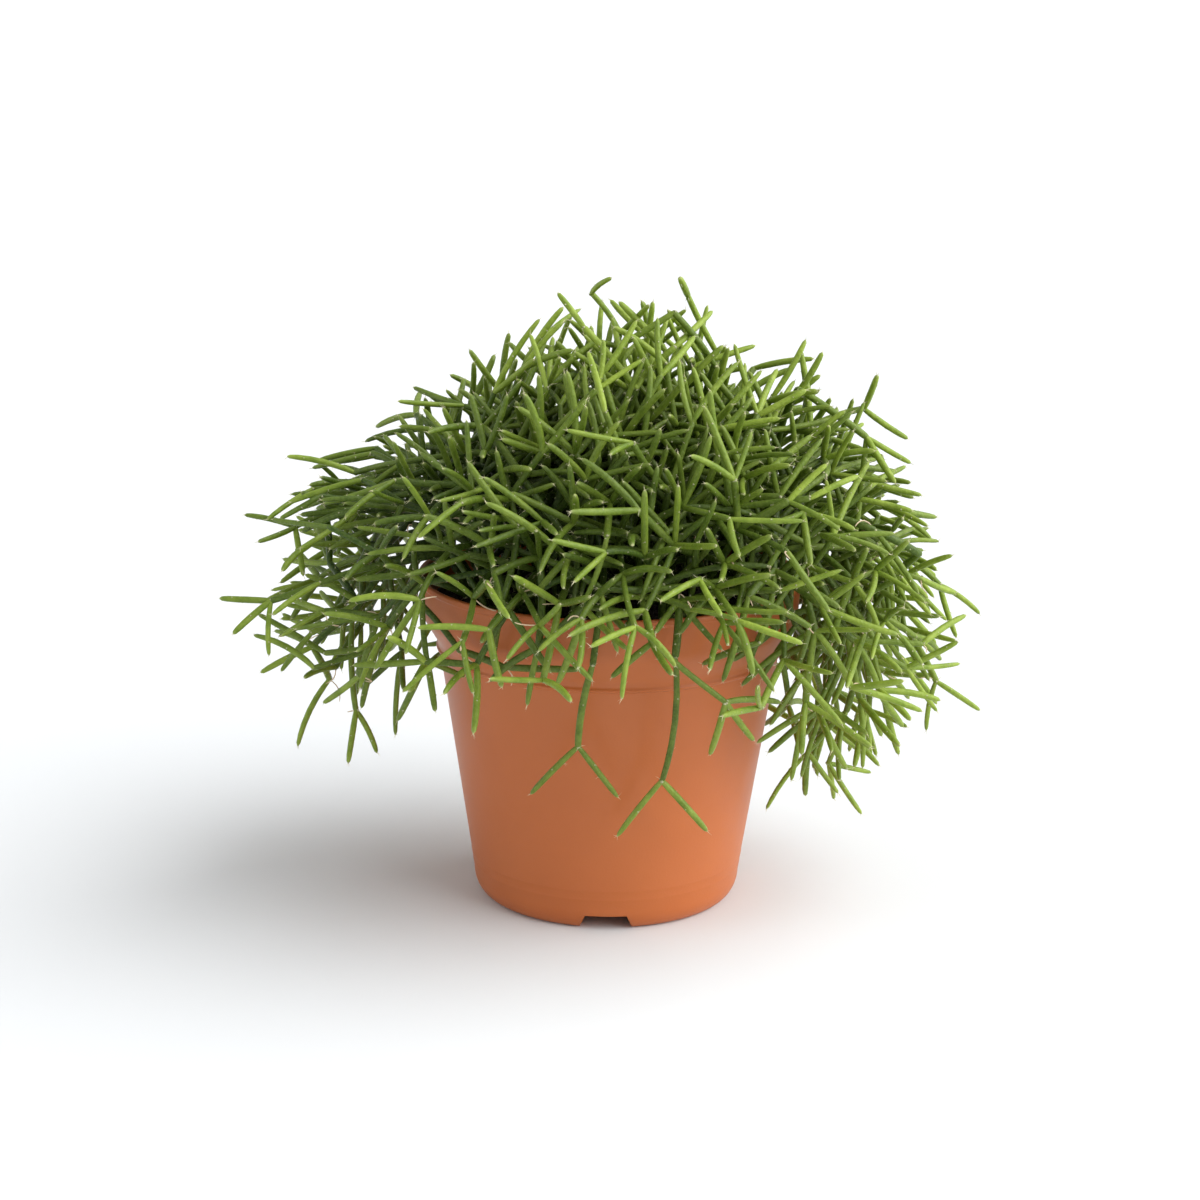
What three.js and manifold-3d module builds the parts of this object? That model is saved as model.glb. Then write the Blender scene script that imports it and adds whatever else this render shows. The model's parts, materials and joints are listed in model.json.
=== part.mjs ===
// A potted rhipsalis, a jungle cactus of slim forked stems, rooted in peat in a round grower's pot.
// Millimetres, +Z up. The origin is the centre of the pot's foot, on the surface that it stands on,
// and -Y is the side that faces the viewer.

import * as THREE from "three";
import { ConvexHull } from "three/addons/math/ConvexHull.js";
import { mergeVertices } from "three/addons/utils/BufferGeometryUtils.js";
import Module from "manifold-3d";

const wasm = await Module();
wasm.setup();

// Pot, outside and inside
const POT_SIDES = 48;
const POT_HEIGHT = 104;
const RIM_RADIUS = 60.4;
const WALL = 1.3;
const STEP_HEIGHT = 80.6;
const STEP_RADIUS = 53.7;
const STEP_PROUD = 0.6;
const COVE_BOTTOM = 83.6;
const COVE_TOP = 91.6;
const COLLAR_RADIUS = 59.3;
const FOOT_RADIUS = 38;
const FOOT_WIDTH = 2.2;
const FOOT_FILLET = 7.5;
const WALL_FOOT_RADIUS = 41.4;
const FLOOR_UNDERSIDE = 5.2;
const FLOOR_THICKNESS = 1.4;

// Water notches in the foot and drain holes in the floor
const NOTCHES = 3;
const NOTCH_WIDTH = 16;
const NOTCH_TOP_WIDTH = 11.6;
const NOTCH_HEIGHT = 4.9;
const DRAIN_HOLES = 6;
const DRAIN_RADIUS = 3;
const DRAIN_CIRCLE = 24;
const DRAIN_SIDES = 8;

// Peat
const SOIL_GAP = 0.35;
const SOIL_EDGE = 93;
const SOIL_CENTRE = 96;
const SOIL_ROUGHNESS = 0.9;
const SOIL_SIDES = 32;
const ROOT_DEPTH = 9;
const HOLE_CLEARANCE = 0.3;

// Stems
const STEMS = 32;
const SEGMENTS = 1200;
const STEM_SIDES = 3;
const STEM_RADIUS = 1.6;
const NECK_SHARE = 0.8;
const TIP_SHARE = 0.5;
const STEM_GAP = 3.6;
const WIDE_GAPS = [8.5, 7, 5.8, 4.8, 4.1, STEM_GAP];
const POT_GAP = 2.2;
const ROOT_CIRCLE = 45;
const GOLDEN_ANGLE = Math.PI * (3 - Math.sqrt(5));
const FRONT = -Math.PI / 2;
const LONG_SEGMENT = 30;
const SHORT_SEGMENT = 18;
const FORK_ANGLE = 0.7;
const CLOSEST_FORK = 0.74;
const TRIES = 36;
const TWIG_TRIES = 4;
const SEED = 33;

// Outline of the whole plant: a dome over the rim, and a skirt that hangs lowest on the right
const DOME_FOOT = 96;
const DOME_RISE = 98;
const REACH = { right: 114, back: 104, left: 116, front: 104 };
const SHOULDER = { right: 1.62, back: 1.55, left: 1.42, front: 1.6 };
const HANG = { right: 34, back: 54, left: 62, front: 68 };
const GOAL_SHARE = 0.86;
const LOWEST_ANGLE = 2.2;

// Shares of that outline: as far as boughs grow, as far as twigs may grow at least, how much
// outward they lean, and the middle that stays bare of them
const BOUGH_SHARE = 0.74;
const TWIG_SHARE = 0.8;
const TWIG_OUTWARD = 0.8;
const BARE_SHARE = 0.32;

// Stems that stand out in the photograph: where each is rooted, and its joints, each with
// the number of the joint that it grows from, counted from 0 at the root
const LANDMARKS = {
  frontLeftPendant: {
    root: [-2, -38],
    joints: [
      [0, -2, -44, 116],
      [1, -3, -62, 109],
      [2, -5, -66, 92],
      [3, -9, -62, 66],
      [4, -23, -59, 50],
      [4, 3, -58, 49],
    ],
  },
  frontRightPendant: {
    root: [14, -39],
    joints: [
      [0, 16, -45, 117],
      [1, 20, -62, 111],
      [2, 19, -66, 95],
      [3, 16, -60, 55],
      [4, 3, -56, 36],
      [4, 30, -56, 38],
    ],
  },
  frontZigzag: {
    root: [30, -22],
    joints: [
      [0, 38, -24, 117],
      [1, 50, -32, 136],
      [2, 48, -52, 118],
      [3, 40, -64, 113],
      [4, 33, -67, 88],
      [4, 58, -64, 104],
    ],
  },
  frontTrident: {
    root: [8, -41],
    joints: [
      [0, 8, -47, 116],
      [1, 9, -63, 112],
      [2, 12, -73, 101],
      [3, 34, -68, 82],
      [4, 30, -62, 64],
      [4, 43, -60, 68],
      [4, 51, -54, 78],
    ],
  },
  frontLeftFork: {
    root: [-15, -36],
    joints: [
      [0, -18, -42, 117],
      [1, -21, -57, 122],
      [2, -21, -66, 97],
      [3, -35, -63, 86],
      [3, -24, -67, 80],
      [3, -8, -70, 111],
    ],
  },
  topLeft: {
    root: [-4, 6],
    joints: [
      [0, -6, 8, 122],
      [1, -1, 9, 151],
      [2, 2, 5, 179],
      [3, -7, 6, 191],
      [4, -1, -3, 197],
    ],
  },
  topRight: {
    root: [12, 6],
    joints: [
      [0, 16, 8, 123],
      [1, 26, 8, 147],
      [2, 33, 14, 171],
      [3, 23, 10, 190],
      [4, 20, 0, 197],
      [2, 31, -5, 171],
      [6, 18, -12, 188],
      [7, 4, -12, 179],
    ],
  },
  upperLeft: {
    root: [-10, -14],
    joints: [
      [0, -10, -16, 121],
      [1, 2, -20, 143],
      [2, 7, -20, 166],
      [3, -9, -18, 184],
      [4, -17, -16, 194],
    ],
  },
  upperRight: {
    root: [30, 8],
    joints: [
      [0, 38, 10, 121],
      [1, 52, 8, 143],
      [2, 79, 12, 155],
      [3, 82, 4, 167],
      [3, 93, 10, 146],
      [2, 57, -5, 164],
      [6, 78, -9, 150],
      [7, 92, -9, 142],
    ],
  },
  farLeft: {
    root: [-32, 4],
    joints: [
      [0, -42, 4, 118],
      [1, -58, 0, 132],
      [2, -76, -4, 127],
      [3, -98, -8, 119],
      [4, -114, -5, 122],
      [4, -108, -20, 117],
      [4, -95, -14, 105],
    ],
  },
  leftSpray: {
    root: [-34, -12],
    joints: [
      [0, -44, -16, 116],
      [1, -67, -25, 112],
      [2, -88, -31, 107],
      [3, -103, -30, 101],
      [4, -119, -28, 101],
      [4, -114, -36, 92],
      [4, -103, -38, 86],
    ],
  },
  leftSkirt: {
    root: [-38, -4],
    joints: [
      [0, -50, -5, 114],
      [1, -69, -7, 108],
      [2, -80, -12, 92],
      [3, -79, -15, 62],
      [4, -81, -22, 47],
      [4, -73, -11, 47],
      [3, -93, -10, 81],
      [7, -109, -12, 73],
      [7, -89, 2, 67],
      [9, -99, -2, 46],
      [2, -64, -21, 83],
      [11, -66, -24, 57],
    ],
  },
  rightSkirt: {
    root: [40, -6],
    joints: [
      [0, 52, -7, 114],
      [1, 70, -8, 108],
      [2, 80, -9, 88],
      [3, 75, -9, 62],
      [4, 63, -14, 50],
      [5, 50, -20, 33],
      [5, 63, -9, 34],
      [4, 71, 3, 41],
      [8, 82, 0, 25],
      [8, 74, 12, 26],
      [3, 88, 3, 64],
      [11, 94, 7, 43],
      [3, 67, -25, 69],
      [13, 49, -37, 57],
    ],
  },
  farRight: {
    root: [38, 10],
    joints: [
      [0, 50, 12, 116],
      [1, 70, 13, 119],
      [2, 90, 9, 110],
      [3, 105, 9, 99],
      [4, 118, 8, 90],
      [4, 110, 1, 84],
      [3, 93, -2, 88],
      [7, 103, -8, 72],
      [8, 117, -9, 63],
      [8, 101, -5, 55],
    ],
  },
};

// Colours
const finish = (color, roughness) =>
  new THREE.MeshStandardMaterial({ color, roughness, metalness: 0 });
const TERRACOTTA = finish(0xc8754a, 0.5);
const PEAT = finish(0x2e2119, 0.95);
const GREEN = finish(0x6f9a3a, 0.5);

// Repeatable random numbers from 0 to 1
function randomFrom(seed) {
  let state = seed;
  return () => {
    state = (state * 48271) % 2147483647;
    return state / 2147483647;
  };
}

// Solids
function solidOf(geometry) {
  const bare = geometry.clone();
  for (const name of Object.keys(bare.attributes))
    if (name !== "position") bare.deleteAttribute(name);
  const merged = mergeVertices(bare, 1e-4);
  return new wasm.Manifold(
    new wasm.Mesh({
      numProp: 3,
      vertProperties: new Float32Array(merged.attributes.position.array),
      triVerts: new Uint32Array(merged.index.array),
    }),
  );
}

function geometryOf(solid) {
  const mesh = solid.getMesh();
  const geometry = new THREE.BufferGeometry();
  const position = new THREE.BufferAttribute(mesh.vertProperties, 3);
  geometry.setAttribute("position", position);
  geometry.setIndex(new THREE.BufferAttribute(mesh.triVerts, 1));
  geometry.computeVertexNormals();
  return geometry;
}

function node(name, solid, material) {
  const mesh = new THREE.Mesh(geometryOf(solid), material);
  mesh.name = name;
  return mesh;
}

// A profile of [radius, height] pairs, turned about +Z
function lathe(profile, sides) {
  const points = profile.map(([r, z]) => new THREE.Vector2(r, z));
  return new THREE.LatheGeometry(points, sides).rotateX(Math.PI / 2);
}

// Pot
function wallRadiusAt(z) {
  const share = z / STEP_HEIGHT;
  return WALL_FOOT_RADIUS + (STEP_RADIUS - WALL_FOOT_RADIUS) * share;
}

function potProfile() {
  const footCorner = wallRadiusAt(FOOT_FILLET);
  const floorTop = FLOOR_UNDERSIDE + FLOOR_THICKNESS;
  const fillet = [0, 0.35, 0.7].map((share) => {
    const turn = (share * Math.PI) / 2;
    return [
      FOOT_RADIUS + (footCorner - FOOT_RADIUS) * Math.sin(turn),
      FOOT_FILLET * (1 - Math.cos(turn)),
    ];
  });
  return [
    [0, FLOOR_UNDERSIDE],
    [FOOT_RADIUS - FOOT_WIDTH - 0.6, FLOOR_UNDERSIDE],
    [FOOT_RADIUS - FOOT_WIDTH, 0],
    ...fillet,
    [footCorner, FOOT_FILLET],
    [STEP_RADIUS, STEP_HEIGHT - 0.5],
    [STEP_RADIUS + STEP_PROUD, STEP_HEIGHT],
    [STEP_RADIUS + STEP_PROUD + 0.3, COVE_BOTTOM],
    [COLLAR_RADIUS, COVE_TOP],
    [RIM_RADIUS - 0.4, POT_HEIGHT - 1.8],
    [RIM_RADIUS, POT_HEIGHT - 1.2],
    [RIM_RADIUS - 0.4, POT_HEIGHT],
    [RIM_RADIUS - WALL - 0.3, POT_HEIGHT],
    [COLLAR_RADIUS - WALL, COVE_TOP + 0.4],
    [STEP_RADIUS + STEP_PROUD - WALL, COVE_BOTTOM + 0.4],
    [STEP_RADIUS - WALL, STEP_HEIGHT - 0.5],
    [wallRadiusAt(FOOT_FILLET) - WALL, FOOT_FILLET + 1],
    [FOOT_RADIUS - 0.6, floorTop],
    [0, floorTop],
  ];
}

function notchCutter(turn) {
  const shape = new THREE.Shape([
    new THREE.Vector2(-NOTCH_WIDTH / 2, -0.01),
    new THREE.Vector2(NOTCH_WIDTH / 2, -0.01),
    new THREE.Vector2(NOTCH_TOP_WIDTH / 2, NOTCH_HEIGHT),
    new THREE.Vector2(-NOTCH_TOP_WIDTH / 2, NOTCH_HEIGHT),
  ]);
  const depth = 20;
  const cutter = new THREE.ExtrudeGeometry(shape, { depth, bevelEnabled: false });
  cutter.rotateX(Math.PI / 2).translate(0, -FOOT_RADIUS + depth / 2, 0);
  return solidOf(cutter.rotateZ(turn));
}

function drainCutter(radius, angle) {
  const length = 6;
  const cutter = new THREE.CylinderGeometry(
    DRAIN_RADIUS,
    DRAIN_RADIUS,
    length,
    DRAIN_SIDES,
  ).rotateX(Math.PI / 2);
  const middle = FLOOR_UNDERSIDE + FLOOR_THICKNESS / 2;
  cutter.translate(radius * Math.cos(angle), radius * Math.sin(angle), middle);
  return solidOf(cutter);
}

function makePot() {
  let pot = solidOf(lathe(potProfile(), POT_SIDES));
  for (let i = 0; i < NOTCHES; i++)
    pot = pot.subtract(notchCutter((i * 2 * Math.PI) / NOTCHES));
  pot = pot.subtract(drainCutter(0, 0));
  for (let i = 0; i < DRAIN_HOLES; i++)
    pot = pot.subtract(drainCutter(DRAIN_CIRCLE, (i * 2 * Math.PI) / DRAIN_HOLES));
  return pot;
}

// Peat: follows the pot's inside, with a low uneven mound on top
function soilTopAt(x, y) {
  const share = Math.hypot(x, y) / RIM_RADIUS;
  const mound = SOIL_CENTRE + (SOIL_EDGE - SOIL_CENTRE) * share * share;
  return mound + SOIL_ROUGHNESS * Math.sin(x / 5.1 + 1) * Math.cos(y / 4.3 + x / 11);
}

function makeSoil(stems) {
  const floorTop = FLOOR_UNDERSIDE + FLOOR_THICKNESS;
  const step = STEP_RADIUS - WALL - SOIL_GAP;
  const brim = COLLAR_RADIUS - WALL - SOIL_GAP;
  const rings = [0.74, 0.48, 0.22].map((share) => [brim * share, SOIL_EDGE]);
  const body = lathe(
    [
      [0, floorTop + SOIL_GAP],
      [FOOT_RADIUS - 1.2, floorTop + SOIL_GAP],
      [wallRadiusAt(FOOT_FILLET) - WALL - SOIL_GAP, FOOT_FILLET + 1.6],
      [step, STEP_HEIGHT - 0.5],
      [step + STEP_PROUD, COVE_BOTTOM + 0.9],
      [brim, COVE_TOP + 0.9],
      [brim, SOIL_EDGE],
      ...rings,
      [0, SOIL_EDGE],
    ],
    SOIL_SIDES,
  );
  const place = body.attributes.position;
  for (let i = 0; i < place.count; i++)
    if (place.getZ(i) > SOIL_EDGE - 0.5)
      place.setZ(i, soilTopAt(place.getX(i), place.getY(i)));
  let soil = solidOf(body);
  for (const stem of stems) soil = soil.subtract(stemHole(stem));
  return soil;
}

// A hole of the stem's own section, with room on each side, from its foot up through the top
function stemHole(stem) {
  const points = [];
  const radius = STEM_RADIUS + HOLE_CLEARANCE / Math.cos(Math.PI / STEM_SIDES);
  const above = ROOT_DEPTH + 8;
  for (const reach of [-HOLE_CLEARANCE, above]) {
    const centre = stem.root.clone().addScaledVector(stem.heading, reach);
    ringOf(centre, stem.heading, radius, points);
  }
  return wasm.Manifold.hull(points.map((p) => p.toArray()));
}

// Outline. A size that differs between the four sides, blended over the azimuth between them
function blend(size, azimuth) {
  const across = Math.cos(azimuth);
  const away = Math.sin(azimuth);
  const side = across > 0 ? size.right : size.left;
  const end = away > 0 ? size.back : size.front;
  return side * across * across + end * away * away;
}

// A goal for a stem, from its angle off the top, past a right angle down the skirt
function goalAt(azimuth, angle) {
  const reach = GOAL_SHARE * blend(REACH, azimuth);
  const power = 2 / blend(SHOULDER, azimuth);
  let radius = reach;
  let height = DOME_FOOT;
  if (angle < Math.PI / 2) {
    radius *= Math.sin(angle) ** power;
    height += GOAL_SHARE * DOME_RISE * Math.cos(angle) ** power;
  } else {
    const share = (angle - Math.PI / 2) / (LOWEST_ANGLE - Math.PI / 2);
    radius *= 1 - 0.22 * share * share;
    height -= share * (DOME_FOOT - blend(HANG, azimuth));
  }
  const x = radius * Math.cos(azimuth);
  return new THREE.Vector3(x, radius * Math.sin(azimuth), height);
}

function insideOutline(p, scale) {
  const azimuth = Math.atan2(p.y, p.x);
  const radius = Math.hypot(p.x, p.y) / blend(REACH, azimuth) / scale;
  if (p.z > DOME_FOOT) {
    const rise = (p.z - DOME_FOOT) / DOME_RISE / scale;
    const power = blend(SHOULDER, azimuth);
    return radius ** power + rise ** power < 1;
  }
  const share = (DOME_FOOT - p.z) / (DOME_FOOT - blend(HANG, azimuth)) / scale;
  return share < 1 && radius < 1 - 0.25 * share * share;
}

function clearOfPot(a, b) {
  const p = new THREE.Vector3();
  for (let i = 1; i <= 8; i++) {
    p.lerpVectors(a, b, i / 8);
    const radius = Math.hypot(p.x, p.y);
    if (p.z > POT_HEIGHT + POT_GAP) continue;
    if (radius < RIM_RADIUS - WALL - 0.5 - POT_GAP) {
      if (p.z < SOIL_CENTRE + 3) return false;
    } else if (radius < RIM_RADIUS + POT_GAP) return false;
  }
  return true;
}

// Least distance between two straight segments
function segmentDistance(p1, q1, p2, q2) {
  const d1x = q1.x - p1.x;
  const d1y = q1.y - p1.y;
  const d1z = q1.z - p1.z;
  const d2x = q2.x - p2.x;
  const d2y = q2.y - p2.y;
  const d2z = q2.z - p2.z;
  const rx = p1.x - p2.x;
  const ry = p1.y - p2.y;
  const rz = p1.z - p2.z;
  const a = d1x * d1x + d1y * d1y + d1z * d1z;
  const e = d2x * d2x + d2y * d2y + d2z * d2z;
  const f = d2x * rx + d2y * ry + d2z * rz;
  const c = d1x * rx + d1y * ry + d1z * rz;
  const b = d1x * d2x + d1y * d2y + d1z * d2z;
  const clamp = (v) => Math.min(Math.max(v, 0), 1);
  const slope = a * e - b * b;
  let s = slope > 1e-9 ? clamp((b * f - c * e) / slope) : 0;
  let t = (b * s + f) / e;
  if (t < 0) {
    t = 0;
    s = clamp(-c / a);
  } else if (t > 1) {
    t = 1;
    s = clamp((b - c) / a);
  }
  const x = rx + d1x * s - d2x * t;
  const y = ry + d1y * s - d2y * t;
  const z = rz + d1z * s - d2z * t;
  return Math.sqrt(x * x + y * y + z * z);
}

// Growth. The plant is a list of segments, each from one joint to the next
function newJoint(stem, from, place, grown) {
  const start = from ? from.place : stem.base;
  const span = place.clone().sub(start);
  const travelled = (from ? from.travelled : 0) + span.length();
  const joint = { stem, place, heading: span.normalize(), travelled, children: [] };
  if (from) from.children.push(joint);
  else {
    stem.heading = joint.heading;
    stem.root = stem.base.clone().addScaledVector(joint.heading, -ROOT_DEPTH);
    stem.first = joint;
  }
  stem.joints.push(joint);
  grown.push({ from, start: from ? from.place : stem.root, joint });
  return joint;
}

// Room round a segment that would grow from a joint, up to a limit that is plenty
function roomFor(start, end, joint, grown, least = STEM_GAP) {
  let room = 9;
  for (const other of grown) {
    if (joint && (other.from === joint || other.joint === joint)) continue;
    const gap = segmentDistance(start, end, other.start, other.joint.place);
    if (gap < room) room = gap;
    if (room < least) return 0;
  }
  return room;
}

// The clearest of several directions near the wanted one, or nothing where all are blocked
function findSegment(joint, along, fork, length, grown, random, scale, least) {
  const side = new THREE.Vector3(-along.y, along.x, 0.001).normalize();
  const lift = side.clone().cross(along).normalize();
  side.crossVectors(along, lift);
  let best = null;
  for (let i = 0; i < TRIES; i++) {
    const spin = random() * 2 * Math.PI;
    const open = fork * (0.7 + 0.6 * random());
    const reach = length * (0.85 + 0.3 * random());
    const aim = along.clone().multiplyScalar(Math.cos(open));
    aim.addScaledVector(side, Math.sin(open) * Math.cos(spin));
    aim.addScaledVector(lift, Math.sin(open) * Math.sin(spin));
    const end = joint.place.clone().addScaledVector(aim, reach);
    if (joint.heading.dot(aim) < 0.1) continue;
    let closest = -1;
    for (const child of joint.children)
      closest = Math.max(closest, child.heading.dot(aim));
    if (closest > CLOSEST_FORK) continue;
    if (!insideOutline(end, scale) || !clearOfPot(joint.place, end)) continue;
    const room = roomFor(joint.place, end, joint, grown, least);
    if (!room) continue;
    const score = room * 0.5 + aim.dot(along) * 3 - closest * 2;
    if (!best || score > best.score) best = { score, end };
  }
  return best && best.end;
}

function growLandmarks(grown) {
  return Object.values(LANDMARKS).map(({ root, joints }) => {
    const [x, y] = root;
    const base = new THREE.Vector3(x, y, soilTopAt(x, y));
    const stem = { base, joints: [] };
    for (const [from, ...place] of joints)
      newJoint(stem, stem.joints[from - 1] ?? null, new THREE.Vector3(...place), grown);
    for (const joint of stem.joints)
      joint.bare = !joint.children.length || joint.place.y < -55;
    return stem;
  });
}

// The other stems arch from roots in a sunflower pattern, each to its share of the outline
function plantStems(grown, random) {
  const stems = [];
  const lowest = Math.cos(LOWEST_ANGLE);
  for (let i = 0; i < STEMS; i++) {
    const share = (i + 0.5) / STEMS;
    const azimuth = i * GOLDEN_ANGLE + FRONT;
    const angle = Math.acos(1 - share ** 0.8 * (1 - lowest));
    const goal = goalAt(azimuth, angle);
    for (let tries = 0; tries < 200; tries++) {
      const radius = ROOT_CIRCLE * Math.min(1, angle / 1.6) + 8 * (random() - 0.5);
      const turn = azimuth + 0.5 * (random() - 0.5);
      const tilt = 0.08 + 0.3 * angle * random();
      const length = 14 + 10 * random();
      const x = radius * Math.cos(turn);
      const y = radius * Math.sin(turn);
      const base = new THREE.Vector3(x, y, soilTopAt(x, y));
      const lean = Math.sin(tilt);
      const up = Math.cos(tilt);
      const heading = new THREE.Vector3(
        lean * Math.cos(azimuth),
        lean * Math.sin(azimuth),
        up,
      );
      const end = base.clone().addScaledVector(heading, length);
      const foot = base.clone().addScaledVector(heading, -ROOT_DEPTH);
      if (Math.hypot(x, y) > ROOT_CIRCLE + 3 || !clearOfPot(end, end)) continue;
      if (!roomFor(foot, end, null, grown)) continue;
      const stem = { base, goal, angle, joints: [] };
      const down = Math.min(2.9, 0.1 + 1.3 * angle);
      stem.arrival = new THREE.Vector3(
        Math.sin(down) * Math.cos(azimuth),
        Math.sin(down) * Math.sin(azimuth),
        Math.cos(down),
      );
      newJoint(stem, null, end, grown);
      stems.push(stem);
      break;
    }
  }
  return stems;
}

// The way that a stem is bound for: up at first, then over, and down into the skirt
function flowOf(stem, joint) {
  if (!stem.goal) return joint.heading.clone();
  const span = stem.base.distanceTo(stem.goal) * 1.15;
  const share = Math.min(joint.travelled / span, 1);
  const flow = stem.goal.clone().sub(joint.place).normalize();
  flow.multiplyScalar(1 - share * share).addScaledVector(stem.arrival, share * share);
  return flow.addScaledVector(joint.heading, 0.5 * (1 - share)).normalize();
}

function growPlant() {
  const random = randomFrom(SEED);
  const grown = [];
  const stems = growLandmarks(grown);
  const arching = plantStems(grown, random);
  stems.push(...arching);
  // Forks, one generation of all arching stems at a time
  let front = arching.map((stem) => stem.first);
  while (front.length && grown.length < SEGMENTS * 0.75) {
    const next = [];
    for (const joint of front) {
      const span = joint.stem.base.distanceTo(joint.stem.goal) * 1.15;
      if (joint.travelled > span) continue;
      const along = flowOf(joint.stem, joint);
      const chance = random();
      const wanted = chance < 0.1 ? 1 : chance < 0.6 ? 2 : 3;
      for (let k = 0; k < wanted; k++) {
        const fork = wanted === 1 ? 0.2 : FORK_ANGLE;
        const length = SHORT_SEGMENT + (LONG_SEGMENT - SHORT_SEGMENT) * random();
        const end = findSegment(
          joint,
          along,
          fork,
          length,
          grown,
          random,
          BOUGH_SHARE,
          STEM_GAP,
        );
        if (end) next.push(newJoint(joint.stem, joint, end, grown));
      }
    }
    front = next;
  }
  // Twigs from every joint into the widest gaps first, then into narrower ones
  const joints = stems.flatMap((stem) => stem.joints);
  for (const joint of joints) joint.age = joint.stem.goal ? 0 : 1;
  for (const least of WIDE_GAPS)
    for (let i = 0; i < joints.length * TWIG_TRIES && grown.length < SEGMENTS; i++) {
      const joint = joints[Math.floor(random() * joints.length)];
      if (joint.children.length > 2 || joint.bare || joint.age > 1) continue;
      if (insideOutline(joint.place, BARE_SHARE)) continue;
      const outward = joint.place.clone();
      outward.z = (outward.z - DOME_FOOT) * 1.2;
      const along = outward.normalize().multiplyScalar(TWIG_OUTWARD).add(joint.heading);
      along.normalize();
      const length = SHORT_SEGMENT + 8 * random();
      const scale = TWIG_SHARE + (1 - TWIG_SHARE) * random();
      const end = findSegment(joint, along, 0.75, length, grown, random, scale, least);
      if (!end) continue;
      const twig = newJoint(joint.stem, joint, end, grown);
      twig.age = joint.age + 1;
      joints.push(twig);
    }
  return { stems, grown };
}

// Stem solid: a prism for each segment, and at each joint the hull of the prisms' ends
function ringOf(centre, heading, radius, points) {
  const side = new THREE.Vector3(0.31, 0.87, 0.38).cross(heading).normalize();
  const first = points.length;
  for (let k = 0; k < STEM_SIDES; k++) {
    const spoke = side.clone().applyAxisAngle(heading, (k * 2 * Math.PI) / STEM_SIDES);
    points.push(spoke.multiplyScalar(radius).add(centre));
  }
  return first;
}

// How far from a joint each end stands, so that no end cuts into another
function standOffs(ends) {
  const offs = ends.map(() => 0.3);
  for (let pass = 0; pass < 60; pass++)
    ends.forEach((end, i) => {
      ends.forEach((other, j) => {
        if (i === j) return;
        const cosine = end.away.dot(other.away);
        const sine = Math.sqrt(Math.max(0, 1 - cosine * cosine));
        offs[i] = Math.max(offs[i], offs[j] * cosine + other.radius * sine + 0.12);
      });
    });
  return offs;
}

function makeStem(stem) {
  const points = [];
  const index = [];
  const tube = (a, b) => {
    for (let k = 0; k < STEM_SIDES; k++) {
      const m = (k + 1) % STEM_SIDES;
      index.push(a + k, a + m, b + m, a + k, b + m, b + k);
    }
  };
  const cap = (a, turned) => {
    for (let k = 1; k < STEM_SIDES - 1; k++)
      index.push(a, turned ? a + k + 1 : a + k, turned ? a + k : a + k + 1);
  };
  const root = ringOf(stem.root, stem.heading, STEM_RADIUS, points);
  cap(root, true);
  const grow = (joint, below) => {
    if (!joint.children.length) {
      const tip = ringOf(joint.place, joint.heading, STEM_RADIUS * TIP_SHARE, points);
      tube(below, tip);
      cap(tip, false);
      return;
    }
    const ends = [{ away: joint.heading.clone().negate(), radius: STEM_RADIUS }];
    for (const child of joint.children)
      ends.push({ away: child.heading, radius: STEM_RADIUS * NECK_SHARE });
    const offs = standOffs(ends);
    const rings = ends.map(({ away, radius }, i) => {
      const centre = joint.place.clone().addScaledVector(away, offs[i]);
      return ringOf(centre, i ? away : joint.heading, radius, points);
    });
    tube(below, rings[0]);
    hullFaces(points, rings, index);
    joint.children.forEach((child, i) => grow(child, rings[i + 1]));
  };
  grow(stem.first, root);
  const geometry = new THREE.BufferGeometry().setFromPoints(points);
  geometry.setIndex(index);
  return solidOf(geometry);
}

// The hull of a joint's rings, without the faces that lie across a ring
function hullFaces(points, rings, index) {
  const numbers = new Map();
  for (const first of rings)
    for (let k = 0; k < STEM_SIDES; k++) numbers.set(points[first + k], first + k);
  const hull = new ConvexHull().setFromPoints([...numbers.keys()]);
  for (const face of hull.faces) {
    const corners = [];
    let edge = face.edge;
    do {
      corners.push(numbers.get(edge.head().point));
      edge = edge.next;
    } while (edge !== face.edge);
    const ring = (n) => rings.find((first) => n >= first && n < first + STEM_SIDES);
    if (corners.every((n) => ring(n) === ring(corners[0]))) continue;
    index.push(...corners);
  }
}

// The whole plant
const plant = growPlant();
const group = new THREE.Group();
group.add(node("pot", makePot(), TERRACOTTA));
group.add(node("soil", makeSoil(plant.stems), PEAT));
plant.stems.forEach((stem, i) => {
  const name = "stem_" + String(i + 1).padStart(2, "0");
  group.add(node(name, makeStem(stem), GREEN));
});

export default group;
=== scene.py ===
import json
import math
from collections import defaultdict

import bmesh
import bpy
import numpy as np
from mathutils import Matrix, Vector, noise

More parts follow.
